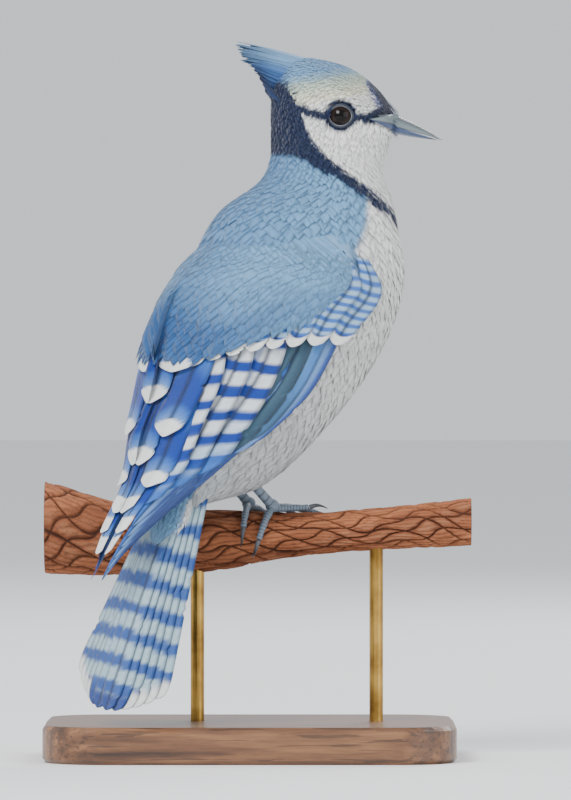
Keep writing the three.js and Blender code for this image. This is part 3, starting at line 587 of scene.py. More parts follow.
for name, first, last, closeness, rows, columns, slimness in COATS:
    number, turn = spread_roots(first, last, closeness)
    length = np.interp(number, LENGTH_PLACES, LENGTHS) * rng.uniform(0.9, 1.12, len(number))
    root = body_point(number, turn, 0)
    tip = body_place(number, turn, length, 0, 0)[0]
    beside = np.abs(root[:, 1] - CHEEK_MIDDLE) > CHEEK_FROM
    bare = np.zeros(len(number), bool)
    for end in (root, tip):
        bare |= beside & (np.hypot(end[:, 0] - EYE_AT[0], end[:, 2] - EYE_AT[1]) < OPEN_EYE)
        bare |= (number > THROAT_NUMBER) & in_gape(end[:, 0], end[:, 2])
    number, turn, length = number[~bare], turn[~bare], length[~bare]
    lift = np.interp(number, LIFT_PLACES, LIFTS) + (BARB_LIFT if name.startswith("loose") else 0)
    points, colours, maps = body_feathers(number, turn, length, length * slimness, lift, rows, columns)
    put_vanes(name, points, (rows, columns), body_finish, colours, maps)

# Crest
# Long narrow crown feathers are raised into a point behind the head, in tiers on both sides, blue above
# and navy below. Each is a roof-shaped blade bent upwards, rooted over the crown and loose at its end.
HEAD_Y = float(section(13)[0][1])
CREST_ROOTS = np.array([(38, 261.5), (29, 262.5), (21, 260), (15, 252.5), (11, 246)])
CREST_TIPS = np.array([(-5.6, 272.4), (-3.4, 268.4), (-0.2, 264.4), (3, 260.6), (5.6, 256)])
CREST_COUNT, CREST_GRID, CREST_THIN = 430, (9, 5), 0.09


def crest_blades(count):
    """Blades of the crest. A blade's tier, 0 at the top to 1 below, sets its root on the crown and its tip,
    both read between the named places; its side sets how far off the middle it grows. The line from root
    to tip is a quadratic curve bent up and out, and the blade is narrowest at its tip."""
    tier = np.sqrt(rng.uniform(0, 1, count)) * np.linspace(0.25, 1, count)
    side = rng.uniform(-1, 1, count)
    early = rng.uniform(0, 0.85, count) ** 1.4
    root = spline(CREST_ROOTS, tier)
    tip = spline(CREST_TIPS, tier)
    root = root + (tip - root) * (early * 0.55)[:, None]
    tip = tip + (root - tip) * (early * 0.35)[:, None] + rng.normal(0, 0.5, (count, 2))
    wide = (4 + 6 * tier) * (1 - early * 0.45)
    start = np.column_stack([root[:, 0], HEAD_Y + side * wide, root[:, 1] - 1.2 * side**2])
    end = np.column_stack([tip[:, 0], HEAD_Y + side * (0.6 + 1.8 * tier), tip[:, 1] - 0.4 * side**2])
    bend = (start + end) / 2 + np.column_stack([-1 + 0 * side, side, 1.9 - 1.2 * tier])
    start, bend, end = (place[:, None, None] for place in (start, bend, end))
    share, across = blade(*CREST_GRID)
    s = share[..., None]
    line = (1 - s) ** 2 * start + 2 * s * (1 - s) * bend + s * s * end
    run = 2 * (1 - s) * (bend - start) + 2 * s * (end - bend)
    run = run / np.linalg.norm(run, axis=-1, keepdims=True)
    out = np.stack([np.zeros(count), side * 1.1, np.ones(count)], -1)[:, None, None]
    out = out - run * (run * out).sum(-1, keepdims=True)
    out = out / np.linalg.norm(out, axis=-1, keepdims=True)
    half = (1.6 * (1 - 0.25 * tier))[:, None, None] * (0.25 + 0.75 * rise(share, 0, 0.3))
    half = half * (1 - share**2.2 * 0.93)
    points = line + np.cross(run, out) * (across * half)[..., None]
    points = points - out * (0.4 * np.abs(across) * half)[..., None]
    points = np.stack([points + out * CREST_THIN, points - out * CREST_THIN], 1)
    hue = over(CROWN, CREST_BLUE, rise(tier, 0.15, 0.55))
    hue = over(hue, NAVY, 0.9 * rise(tier, 0.5, 0.85))[:, None, None, None]
    light = 0.8 + 0.25 * np.abs(across) + rng.normal(0, 0.1, (count, 1, 1))
    fade = rise(share, 0.3, 1.0)[..., None] * 0.6
    colours = (hue * (1 - fade) + NAVY * fade) * light[:, None, ..., None] + np.zeros(points.shape)
    length = np.linalg.norm(end - start, axis=-1)
    roots = (0.5 + side * 0.2, 0.75 - 0.2 * tier)
    maps = vane_maps(roots, share, across, share * length, across * half, started=False)
    return points.reshape(count, -1, 3), colours, maps


points, colours, maps = crest_blades(CREST_COUNT)
put_vanes("crest_feathers", points, CREST_GRID, body_finish, colours, maps)

# Eyes and lids
# Dark glass eyes are set in the sockets behind a ring of bare lid. The eye is a ball with a black pupil
# and a dark brown iris under a clear gloss; the lid is a beaded rim of grey skin round it.
EYE_RADIUS, EYE_OUT = 5.2, 10.6
CORNEA_SWELL, CORNEA_WIDE = 0.22, 0.45
BALL_ROWS, BALL_SIDES, LID_STEPS, LID_SIDES = 33, 48, 64, 14
gloss_coat = {"Coat_Weight": 0.35, "Coat_Roughness": 0.03, "Coat_IOR": 1.3}
amber = (0.008, 0.004, 0.003)
eye_finish = speckled("glass_eye", 2500, 3, 0.3, amber, 0, rough=0.1, gloss=0.12, **gloss_coat)
lid_finish = speckled("lid_skin", 1400, 2, 0.4, (0.02, 0.02, 0.025), 0.0002, rough=0.55, gloss=0.4)


def ball(rows, sides):
    """Unit directions over a ball, in rings from its upper pole to its lower one, and each ring's angle
    from the upper pole."""
    polar = np.linspace(0, np.pi, rows)[:, None]
    level = np.sin(polar)
    turn = circle(sides)
    return np.stack([level * np.cos(turn), level * np.sin(turn), np.cos(polar) + 0 * turn], -1), polar


globe, polar = ball(BALL_ROWS, BALL_SIDES)
radius = EYE_RADIUS + CORNEA_SWELL * np.exp(-((polar / CORNEA_WIDE) ** 2))
iris = over(np.array([0.002, 0.002, 0.002]), np.array([0.012, 0.006, 0.004]), rise(polar, 0.4, 0.5))
iris = np.repeat(iris, BALL_SIDES, 1)
turn = circle(LID_STEPS)[:, None]
bead = circle(LID_SIDES)
thick = 0.72 + 0.08 * np.cos(turn * 24)
ring = 4.25 + 0.35 * np.cos(turn) ** 8 + thick * np.cos(bead)
lid_out = 13.9 - 0.5 * np.cos(turn) ** 2 + thick * 0.8 * np.sin(bead)
lid_x = EYE_AT[0] + ring * np.cos(turn)
lid_z = EYE_AT[1] + ring * 0.97 * np.sin(turn)
lid_grey = over(paint(40, 46, 60), paint(150, 158, 168), rise(np.cos(bead) + 0 * turn, -0.2, -0.7))
at = np.arange(LID_STEPS * LID_SIDES).reshape(LID_STEPS, LID_SIDES)
at = np.vstack([at, at[:1]])
at = np.column_stack([at, at[:, 0]])
lid_quads = np.stack([at[:-1, :-1], at[1:, :-1], at[1:, 1:], at[:-1, 1:]], -1).reshape(-1, 4)
for name, side in (("right", -1), ("left", 1)):
    centre = np.array([EYE_AT[0], HEAD_Y + side * EYE_OUT, EYE_AT[1]])
    points = globe[..., [0, 2, 1]] * np.array([1, side, 1]) * radius[..., None] + centre
    quads = grid_quads(BALL_ROWS, BALL_SIDES, wrapped=True)[:, ::side]
    put_mesh(f"{name}_glass_eye", points, quads, eye_finish, iris, stands_for=(f"{name}_eye",))
    points = np.stack([lid_x, HEAD_Y + side * lid_out, lid_z], -1)
    put_mesh(f"{name}_lid", points, lid_quads[:, ::side], lid_finish, lid_grey)

# Bill
# The bill is two horn sheaths that meet at flat cutting edges: the upper one a little longer, with a
# curved ridge and a hooked tip. Its nostrils lie under a brush of stiff dark bristles from the forehead.
BILL_BASE, BILL_TIP, BILL_HALF, BILL_TAPER = (49, 242.1), (73.4, 235.2), 4.6, 1.7
BILL_ROWS, BILL_SIDES = 44, 25
HORN_GREY, HORN_BLUE = paint(106, 120, 122), paint(44, 66, 110)
horn_finish, shader, dye = new_finish("horn", Specular_IOR_Level=0.5, Coat_Weight=0.25, Coat_Roughness=0.25)
grain = noise(dye, 260, 4, stretch=(1, 6, 6))
worn = noise(dye, 900, 2)
join(
    shader,
    Base_Color=painted(dye).tinted(grain * 0.35, (0.09, 0.11, 0.13)),
    Roughness=worn * 0.25 + 0.25,
    Normal=bump(dye, grain, 0.00025),
)


def bill_half(sign, height, shorter):
    """One half of the bill: half ellipses along a straight cutting edge, whose half axes shrink by one less
    a power of the share along, the ridge bending down a little at the tip. The flat edge closes it."""
    share = np.linspace(0, 1, BILL_ROWS)[:, None]
    angle = np.linspace(0, np.pi, BILL_SIDES)
    taper = np.maximum(1 - share**BILL_TAPER, 0.05)
    x = BILL_BASE[0] + (BILL_TIP[0] - shorter - BILL_BASE[0]) * share + 0 * angle
    edge = BILL_BASE[1] + (BILL_TIP[1] - BILL_BASE[1]) * share + sign * 0.12
    y = HEAD_Y + np.cos(angle) * BILL_HALF * taper
    z = sign * np.sin(angle) ** 0.9 * height * taper
    ridge = rise(np.sin(angle) + 0 * share, 0.2, 0.95)
    if sign > 0:
        edge = edge - 0.55 * rise(share, 0.78, 1) * 0.6
        z = z - 0.35 * np.abs(np.cos(angle)) ** 10 * taper
        colour = over(HORN_GREY, paint(52, 58, 64), ridge)
    else:
        colour = over(HORN_BLUE, paint(84, 100, 122), ridge)
    colour = over(colour, paint(28, 30, 34), rise(share, 0.72, 1.0) * 0.8)
    return capped(np.stack([x, y, edge + z], -1)), doubled_ends(colour)


for name, sign, height, shorter in (("upper_bill", 1, 4.9, 0.0), ("lower_bill", -1, 3.0, 1.6)):
    points, colour = bill_half(sign, height, shorter)
    quads = grid_quads(len(points), BILL_SIDES, wrapped=True)[:, ::-sign]
    put_mesh(f"{name}_horn", points, quads, horn_finish, colour, stands_for=(name,))


def cheek_half(x, z):
    """Half width of the head at places in the side view: that of the nearest of many places on the head's
    sections, which all stand square to this view."""
    number = np.linspace(12, LAST, 150)[:, None]
    turn = np.linspace(0, np.pi, 150)[None, :]
    places = body_point(number, turn, 0).reshape(-1, 3)
    off = (places[None, :, 0] - x.reshape(-1, 1)) ** 2 + (places[None, :, 2] - z.reshape(-1, 1)) ** 2
    return np.abs(places[off.argmin(axis=1), 1] - HEAD_Y).reshape(x.shape)


GAPE_LENGTH, GAPE_GRID, GAPE_THICK = 11.5, (24, 15), 1.0
share = np.linspace(0.02, 1, GAPE_GRID[0])[:, None] + np.zeros(GAPE_GRID[1])
across = np.linspace(-1, 1, GAPE_GRID[1]) + 0 * share
gape_x = GAPE_X + GAPE_LENGTH * share
back = gape_x - GAPE_X
off = np.where(across > 0, GAPE_UP, GAPE_DOWN) * across * np.minimum(back, 10)
gape_z = GAPE_Z - GAPE_FALL * back + off
taper = 1 - (np.maximum(gape_x - BILL_BASE[0], 0) / (BILL_TIP[0] - BILL_BASE[0])) ** BILL_TAPER
bill_y = BILL_HALF * taper * np.sqrt(1 - 0.9 * across**2)
gape_y = np.maximum(cheek_half(gape_x, gape_z) + 0.1 - 0.6 * across**4, bill_y + 0.05)
gape_y = gape_y + 0.35 * (1 - across**2) - 1.1 * rise(share, 0.72, 1)
gape_paint = over(HORN_BLUE, HORN_GREY, rise(across, -0.05, 0.15))
gape_paint = over(gape_paint, paint(18, 22, 30), rise(np.abs(across), 0.14, 0.05))
gape_paint = over(gape_paint, NAVY, 0.7 * rise(np.abs(across), 0.75, 1.0))
for name, side in (("right_gape", -1), ("left_gape", 1)):
    faces = [np.stack([gape_x, HEAD_Y + side * (gape_y - deep), gape_z], -1) for deep in (0, GAPE_THICK)]
    points = np.stack(faces).reshape(1, -1, 3)
    put_vanes(name, points, GAPE_GRID, horn_finish, np.stack([gape_paint, gape_paint]))

BRISTLE_COUNT, BRISTLE_GRID, BRISTLE_THIN = 230, (5, 3), np.array([0, 0, 0.06])
side = rng.uniform(-1, 1, BRISTLE_COUNT)
low = rng.uniform(0, 1, BRISTLE_COUNT)
height = 252.6 - 9.5 * np.abs(side) ** 0.8 - 3 * low
start = np.column_stack([50.5 + 2.5 * low, HEAD_Y + side * (5.6 - 0.8 * low), height])
forward = rng.uniform(3.2, 6.2, BRISTLE_COUNT) * (1 - 0.35 * low)
end = start + np.column_stack([forward, 0.1 * side, -4.4 - 0.8 * low])
share, across = blade(*BRISTLE_GRID)
s = share[..., None]
line = start[:, None, None] * (1 - s) + end[:, None, None] * s
line = line + np.stack([0 * side, side * 0.9, 0.6 + 0 * side], -1)[:, None, None] * (s * (1 - s) * 4) * 0.5
half = 0.17 * (1 - share**1.5 * 0.85)
points = line + np.stack([0 * across, across * half, 0 * across], -1)
points = np.stack([points + BRISTLE_THIN, points - BRISTLE_THIN], 1).reshape(BRISTLE_COUNT, -1, 3)
shade = over(NAVY, paint(60, 84, 120), rng.uniform(0, 0.5, BRISTLE_COUNT))[:, None] + np.zeros(points.shape)
patch = np.column_stack([0.5 + side * 0.1, 0.97 + 0 * side])[:, None] + np.zeros((1, points.shape[1], 1))
maps = {"OFBake": patch, "vane": np.zeros(patch.shape)}
put_vanes("bristles", points, BRISTLE_GRID, body_finish, shade, maps)

# Wings
# Each wing is folded along the flank: a cloak of soft shoulder feathers over its root, a row of barred
# coverts with white tips, barred secondaries, broad tertials down the back and long primaries below.
WING_INNER = [(-14, 2, 203), (-36, 0, 176), (-44, -0.5, 158), (-49, -0.5, 138)]
WING_INNER += [(-54.5, -0.5, 124), (-59, 0, 106), (-69.5, 0.6, 87), (-79, 1, 70)]
WING_OUTER = [(20, 27, 202), (28, 32, 178), (14, 35, 161), (-2, 34, 141)]
WING_OUTER += [(-24, 27, 122), (-41, 18, 105.5), (-55, 12, 93.3), (-80, 4.5, 69.5)]
WING_BULGE = np.array([10, 15, 16, 15, 10, 6, 4, 0.5])[:, None]
CLOAK_BORDER = np.array([0.37, 0.37, 0.34, 0.26, 0.2, 0.17])[:, None]
TOP_STATION = 9.55


def in_body(places):
    """Places given forward, to the right and up in the bird's own frame, as x, y and z."""
    forward, side, up = np.moveaxis(np.asarray(places, float), -1, 0)
    x = MIDDLE_X + forward * np.cos(HEADING) + side * np.sin(HEADING)
    return np.stack([x, forward * np.sin(HEADING) - side * np.cos(HEADING), up], -1)


def evenly(points):
    """A curve through points, as a function of the share of its length: the spline is walked in small
    steps and read back by the running total of their lengths."""
    fine = spline(points, np.linspace(0, 1, 600))
    total = np.concatenate([[0], np.cumsum(np.linalg.norm(np.diff(fine, axis=0), axis=1))])

    def at(share):
        """The place on the curve at a share of its length."""
        share = np.clip(share, 0, 1) * total[-1]
        return np.stack([np.interp(share, total, fine[:, i]) for i in range(3)], -1)

    return at


inner_edge, outer_edge = evenly(in_body(WING_INNER)), evenly(in_body(WING_OUTER))


def beside_body(points, lowest, highest):
    """Moves points along their lines from the body's middle until they stand between two heights off its
    skin. The station of each is found by halving, as the one whose plane holds the point."""
    low = np.zeros(points.shape[:-1])
    high = np.full(points.shape[:-1], TOP_STATION)

    def ahead(number):
        """Whether the points lie past the plane of a station."""
        centre, front, right = section(number)[:3]
        normal = np.cross(front, right)
        normal = normal * np.where(normal[..., 2:] > 0, -1, 1)
        return ((points - centre) * normal).sum(-1) < 0

    free = ~ahead(low) | ahead(high)
    for _ in range(16):
        middle = (low + high) / 2
        past = ahead(middle)
        low, high = np.where(past, middle, low), np.where(past, high, middle)
    centre, front, right, depth, half = section(low)
    off = points - centre
    size = np.linalg.norm(off, axis=-1)
    share = np.hypot((off * front).sum(-1) / depth, (off * right).sum(-1) / half)
    skin_at = size / np.maximum(share, 1e-6)
    wanted = np.clip(size, skin_at + lowest, skin_at + highest)
    moved = centre + off * (wanted / np.maximum(size, 1e-6))[..., None]
    return np.where(free[..., None], points, moved)


def wing_place(along, across, lift):
    """A place on the right wing's sheet, lifted off it. The sheet runs between the inner edge down the back
    and the outer edge on the flank, bulges outwards between them as half a sine, and follows the body."""
    along, across, lift = np.broadcast_arrays(along, across, lift)
    inner, outer = inner_edge(along), outer_edge(along)
    before, after = np.maximum(along - 0.02, 0), np.minimum(along + 0.02, 1)
    run = inner_edge(after) + outer_edge(after) - inner_edge(before) - outer_edge(before)
    chord = outer - inner
    out = np.cross(run, chord)
    out = out / np.linalg.norm(out, axis=-1, keepdims=True)
    share = np.clip(across, 0, 1)
    bulge = spline(WING_BULGE, along)[..., 0]
    width = np.linalg.norm(chord, axis=-1)
    lean = bulge * np.pi * np.cos(np.pi * share) / width
    sheet = inner + chord * across[..., None] + out * (bulge * np.sin(np.pi * share))[..., None]
    normal = out - chord / width[..., None] * lean[..., None]
    normal = normal / np.linalg.norm(normal, axis=-1, keepdims=True)
    low = 1.8 + 3.2 * share**2
    loose = 400 * np.clip(along - 0.12, 0, 1) ** 2
    return beside_body(sheet, low, low + loose) + normal * lift[..., None]


def mirrored(points):
    """Points mirrored in the bird's middle plane."""
    normal = np.array([np.sin(HEADING), -np.cos(HEADING), 0])
    return points - 2 * ((points - np.array([MIDDLE_X, 0, 0])) @ normal)[..., None] * normal


def sheet_width(along):
    """Width of the wing's sheet over its bulge, in mm."""
    return np.linalg.norm(inner_edge(along) - outer_edge(along), axis=-1) * 1.1


def cloak_border(across):
    """How far along the sheet the cloak of shoulder feathers reaches."""
    return spline(CLOAK_BORDER, np.clip(across, 0, 1))[..., 0]


MID_BLUE, PALE_BLUE = paint(56, 110, 192), paint(160, 196, 226)
TEAL_GREY, TURQUOISE, WING_WHITE = paint(62, 96, 116), paint(118, 184, 212), paint(244, 245, 242)
SHAFT = paint(24, 38, 66)


def shafted(colour, share, across, aside, seed):
    """A flight feather's finish on its own colour: a dark shaft, fine darker edges and slanting streaks."""
    streak = 1 + 0.05 * np.sin(aside * 9 + share * 160 + seed) * rise(np.abs(across), 0.05, 0.2)
    colour = colour * streak[..., None]
    colour = over(colour, SHAFT, 0.85 * rise(np.abs(aside), 0.34, 0.16))
    return over(colour, SHAFT, 0.45 * rise(np.abs(across), 0.9, 1.0))


BAR_SOFTNESS = 0.7


def bars(run, pitch, width):
    """Cover of bars across a feather: 1 inside each bar of a given width, repeated at a pitch in mm."""
    place = np.abs((run / pitch) % 1 - 0.5) * pitch
    return rise(place, width / 2 + BAR_SOFTNESS / 2, width / 2 - BAR_SOFTNESS / 2)


def flight_paint(kind, run, left, share, across, aside, seed):
    """A wing feather's colour from the distances run from its root and left to its tip. Coverts have fine
    bars, a cobalt band and a white tip, secondaries broad bars on white, and tertials are blue with a
    cobalt band and a broad white tip. Teal, turquoise and primary feathers differ between their vanes."""
    white = 0 * run
    if kind == "covert":
        colour = over(PALE_BLUE, MID_BLUE, bars(run + 0.12 * np.abs(aside), 4.2, 2.0))
        colour = over(colour, COBALT, 0.8 * rise(left, 5.6, 4.6))
        white = rise(left - 0.35 * aside**2 / 3, 4.2, 3.5)
    elif kind == "secondary":
        colour = over(WING_WHITE, PALE_BLUE, 0.25 + 0.6 * rise(share, 0.6, 0.85))
        colour = over(colour, MID_BLUE, 0.5 * rise(aside, -1.5, -3.5))
        colour = over(colour, COBALT, bars(run + seed, 10.4, 4.8))
        colour = over(colour, MID_BLUE, rise(share, 0.8, 0.95))
    elif kind == "tertial":
        left = left + 0.25 * aside**2 / 2
        colour = over(MID_BLUE, PALE_BLUE, 0.35 * rise(left, 12, 7))
        colour = over(colour, COBALT, rise(left, 11.5, 15) * rise(left, 34, 24))
        white = rise(left, 7.8, 7.0)
    elif kind == "teal":
        colour = over(TEAL_GREY, SHAFT, 0.45 * rise(np.sin(aside * 5 + seed), 0.2, 0.9))
    elif kind == "turquoise":
        colour = over(TURQUOISE, MID_BLUE, 0.8 * rise(aside, 0.3, 1.6))
        colour = over(colour, TEAL_GREY, 0.7 * rise(share, 0.55, 0.8))
    else:
        colour = over(MID_BLUE, PALE_BLUE, 0.4 * rise(across, -0.1, 0.3))
        colour = over(colour, COBALT, 0.85 * rise(np.abs(across), 0.45, 0.8))
    return over(shafted(colour, share, across, aside, seed), WING_WHITE, white)


def parted(draw, share, across, places, deep, wide):
    """Notches in a feather's edges where its barbs have parted: three bell-shaped dips of one depth and
    width, each at a drawn place along a drawn edge."""
    notch = np.zeros(share.shape)
    for place in draw.uniform(*places, 3):
        edge = draw.choice([-1, 1])
        notch = notch + deep * np.exp(-(((share - place) / wide) ** 2)) * rise(across * edge, 0.5, 1)
    return notch


# Painted shade: the lower face of a flight feather is darker than its upper one.
LOWER_SHADE = 0.6


def feather_arrays(upper, lower, colour, aside, run, share, across):
    """One flight feather's points, colours and two maps, each for its upper face and then its lower one,
    which is darker."""
    vane = np.stack([aside, run], -1)
    strip = np.stack([(across + 1) / 2, share], -1)
    pairs = ((upper, lower), (colour, colour * LOWER_SHADE), (vane, vane), (strip, strip))
    return [np.stack(pair).reshape(-1, pair[0].shape[-1]) for pair in pairs]


FLIGHT_GRID = (72, 9)


def wing_feather(kind, seed, root, tip, width, lift, tip_lift, tilt=9, blunt=0.3, full_to=0.86):
    """One flight feather, from its root to its tip over the wing's sheet. Its half width follows the blade,
    its outer edge stands up by the tilt so that it slips under its inner neighbour, and its middle is
    arched."""
    share, across = blade(*FLIGHT_GRID)
    draw = np.random.default_rng(seed)
    notch = parted(draw, share, across, (0.45, 0.95), 0.16, 0.012)
    along = root[0] + (tip[0] - root[0]) * share * (1 - 0.035 * across**2)
    across_at = root[1] + (tip[1] - root[1]) * share
    wide = sheet_width(along)
    aside = np.minimum(width / 2 * blade_half(share, blunt, full_to) / wide, 0.2) * across * (1 - notch)
    raised = lift + (tip_lift - lift) * share + aside * tilt + 0.35 * (1 - across**2) * share
    raised = raised + 0.05 * draw.normal()
    upper = wing_place(along, across_at + aside, raised)
    lower = wing_place(along, across_at + aside, raised - 0.22 + 0.08 * share)
    steps = np.linalg.norm(np.diff(upper[:, FLIGHT_GRID[1] // 2], axis=0), axis=1)
    run = np.concatenate([[0], np.cumsum(steps)])[:, None] + 0 * across
    colour = flight_paint(kind, run, run[-1, 0] - run, share, across, aside * wide, seed)
    return feather_arrays(upper, lower, colour, aside * wide, run, share, across)


def fan(feathers):
    """Joins feathers of one grid into one mesh's arrays, with a strip of the bake map for each."""
    count = len(feathers)
    points, colours, vane_map, strips = (np.stack(arrays) for arrays in zip(*feathers))
    strips = strips * np.array([0.92 / count, 0.98])
    strips[..., 0] += (np.arange(count) / count)[:, None]
    return points, colours, {"OFBake": strips, "vane": vane_map}


def under_cloak(across, deep):
    """A root under the cloak's border, so deep as a share of the sheet's length."""
    return float(cloak_border(np.array(across))) - deep, across


flight = []
TERTIALS = [(0.45, 0.13, 15), (0.53, 0.02, 12), (0.615, 0.27, 14), (0.69, 0.06, 12)]
TERTIALS += [(0.755, 0.36, 12.5), (0.825, 0.12, 11), (0.885, 0.33, 10), (0.94, 0.25, 8)]
for i, (along, across, width) in enumerate(TERTIALS):
    root, tip = (max(0.24, along - 0.36), across * 0.7 + 0.03), (along, across)
    lift = 3.0 - 0.42 * i
    flight.append(wing_feather("tertial", 30 + i, root, tip, width, lift - 2.4, lift, tilt=0))
for i in range(3):
    root, tip = under_cloak(0.27 + 0.145 * i, 0.08), (0.80 - 0.05 * i, 0.52 + 0.15 * i)
    lift = -0.4 - 0.25 * i
    flight.append(wing_feather("secondary", 50 + i, root, tip, 12.5, lift, lift))
OUTER = [(0.66, 0.68, 0.82, "teal"), (0.73, 0.63, 0.9, "teal"), (0.79, 0.6, 0.93, "turquoise")]
OUTER += [(0.86, 0.62, 0.97, "primary")]
for i, (across, end, tip_across, kind) in enumerate(OUTER):
    root, tip = under_cloak(across, 0.08), (end, tip_across)
    flight.append(wing_feather(kind, 60 + i, root, tip, 8.5, -1.2, -1.2 - 0.2 * i))
for i in range(6):
    root, tip = (0.15, 0.93), (0.86 + 0.027 * i, 0.62 + 0.06 * i)
    flight.append(wing_feather("primary", 70 + i, root, tip, 7.5, -1.6 - 0.25 * i, -0.6 - 0.45 * i, tilt=0))
for i in range(8):
    across = 0.22 + 0.1 * i
    root, tip = under_cloak(across, 0.1), (0.43 - 0.018 * i, across + 0.015)
    flight.append(wing_feather("covert", 80 + i, root, tip, 8.6, -0.2, 1.5, blunt=0.45, full_to=0.72))
flight_finish = feather_finish("flight_feathers", 0.6, 0.28, 0.00015, 0.55)
flight_points, flight_colours, flight_maps = fan(flight)

CLOAK_ROOT = -6


def cloak_height(share, across, full=1.0):
    """Height of the cloak over the sheet: sunk at its border and its outer rim, full past a quarter sine."""
    rim = np.clip(np.minimum(share * 1.6, (1 - np.clip(across, 0, 1)) * 3), 0, 1)
    full = (4.1 - 1.4 * np.clip(across * 2.5, 0, 1)) * full
    return CLOAK_ROOT + (full - CLOAK_ROOT) * np.sin(rim * np.pi / 2)


CLOAK_GRID = (60, 60)
share = np.linspace(0, 1, CLOAK_GRID[0])[:, None]
across = np.linspace(-0.02, 1, CLOAK_GRID[1])
border = cloak_border(across)
top = cloak_height(share, across, 1 - 0.4 * share**6)
cloak_upper = wing_place(border * share, across, top - 0.9)
cloak_lower = wing_place(border * share, across, np.minimum(-8.6 + 7 * share**8, top - 1.6))
cloak_points = np.stack([cloak_upper, cloak_lower]).reshape(1, -1, 3)


def cloak_paint(along, across):
    """Pale blue shoulder feathers, darkened by painted shade towards the back's middle and the lower border.
    """
    share = along / np.maximum(cloak_border(across), 0.05)
    deep = 0.45 * rise(across, 0.35, 0.0) + 0.7 * rise(share, 0.5, 1.0) * rise(across, 0.75, 0.2)
    deep = deep + 0.5 * rise(across, 0.85, 1.0) + 0.3 * rise(share, 0.85, 1.0)
    return over(MANTLE, MANTLE_SHADED, np.clip(deep, 0, 1))


# The sheet under the shoulder feathers gets their colours, darkened by painted shade.
cloak_ground = cloak_paint(border * share, across) * SHADE_UNDER_FEATHERS
cloak_ground = np.stack([cloak_ground, cloak_ground])
cloak_map = np.stack(np.broadcast_arrays(across, share), -1)
cloak_map = np.stack([cloak_map, cloak_map])

TUFT_COUNT, TUFT_GRID, TUFT_LENGTH = 640, (5, 5), 0.115
root_share, root_across = scattered(TUFT_COUNT)
root_share = root_share * 1.05 - 0.12
root_across = root_across * 1.04 - 0.04
share, across = blade(*TUFT_GRID)
border = cloak_border(root_across)[:, None, None]
fray = rng.uniform(-0.05, 0.02, (TUFT_COUNT, 1, TUFT_GRID[1]))
swing = rng.normal(0, 0.015, (TUFT_COUNT, 1, 1))
run = share * (1 - 0.2 * across**2 + fray * share**4) * TUFT_LENGTH
tuft_along = np.clip(root_share[:, None, None] * border * 0.93 + run, 0.0, 1)
half = across * 4.6 * blade_half(share, 0.3) / sheet_width(tuft_along)
tuft_across = root_across[:, None, None] + half + swing * share
top = cloak_height(tuft_along / border, tuft_across)
raised = top - 1.4 + 1.25 * run / TUFT_LENGTH + 0.2 * (1 - across**2) * share
raised = raised + rng.normal(0, 0.05, (TUFT_COUNT, 1, 1))
tuft_upper = wing_place(tuft_along, tuft_across, raised)
tuft_lower = wing_place(tuft_along, tuft_across, raised - 0.16 + 0.1 * share)
tuft_points = np.stack([tuft_upper, tuft_lower], 1).reshape(TUFT_COUNT, -1, 3)
tuft_colour = cloak_paint(tuft_along, tuft_across) * (1 + rng.normal(0, 0.045, (TUFT_COUNT, 1, 1, 1)))
tuft_colour = tuft_colour * edge_light(share, across)[..., None]
tuft_colour = np.stack([tuft_colour, tuft_colour], 1)
roots = (np.clip(root_across, 0, 1) * 0.99, np.clip(root_share, 0, 1) * 0.99)
tuft_maps = vane_maps(roots, share, across, share * 14, across * 4.2)

for name, turned in (("right", lambda points: points), ("left", mirrored)):
    put_vanes(
        f"{name}_flight_feathers",
        turned(flight_points),
        FLIGHT_GRID,
        flight_finish,
        flight_colours,
        flight_maps,
        stands_for=(f"{name}_wing",),
    )
    cloak, tufts = turned(cloak_points), turned(tuft_points)
    put_vanes(f"{name}_shoulder", cloak, CLOAK_GRID, skin_finish, cloak_ground, {"OFBake": cloak_map})
    put_vanes(f"{name}_shoulder_feathers", tufts, TUFT_GRID, body_finish, tuft_colour, tuft_maps)

# Tail
# Twelve long tail feathers spread in a narrow fan, the middle pair on top and the outer ones stepped
# below and shorter. They are barred blue and pale, with dark shafts, and the outer tips are white.
TAIL_ROOT, TAIL_TIP = np.array([-33, 0, 121]), np.array([-75, 0, 20.6])
TAIL_RUN = TAIL_TIP - TAIL_ROOT
TAIL_LENGTH = float(np.hypot(TAIL_RUN[0], TAIL_RUN[2]))
TAIL_OUT = np.array([TAIL_RUN[2], 0, -TAIL_RUN[0]]) / TAIL_LENGTH
TAIL_ROLL = np.radians(9)
ROOT_HALF, TIP_HALF = 11, 29.5


def tail_place(along, side, lift):
    """A place on the tail's plane: so far along it as a share, to its right, and lifted off its back."""
    along, side, lift = np.broadcast_arrays(along, side, lift)
    middle = TAIL_ROOT + TAIL_RUN * along[..., None] + TAIL_OUT * lift[..., None]
    middle = middle + np.stack([0 * side, side * np.cos(TAIL_ROLL), -side * np.sin(TAIL_ROLL)], -1)
    return in_body(middle)


PAIRS, TAIL_GRID = 6, (60, 9)


def tail_paint(run, across, aside, pair, seed, length):
    """A tail feather's colour: bars that come closer together towards the tip, on a pale blue that is
    deeper on one side of every second feather, with a deep blue tip on the middle pairs and a white tip
    on the others."""
    place = run / TAIL_LENGTH
    bar = 7.6 * place + 1.8 * place**2 + 0.03 * np.sin(seed * 2.1 + aside * 0.5) + 0.008 * np.abs(aside)
    colour = over(paint(178, 208, 220), paint(130, 178, 212), 0.6 * rise(across, -0.9, 0.4) * (seed % 2))
    colour = over(colour, paint(36, 88, 168), rise(np.abs(bar % 1 - 0.5), 0.27, 0.2))
    tip = rise(length - run, 9, 5)
    colour = over(colour, paint(24, 66, 146) if pair < 2 else WING_WHITE, tip)
    colour = shafted(colour, run / length, across, aside, seed)
    return colour if pair < 2 else over(colour, WING_WHITE, tip * 0.8)


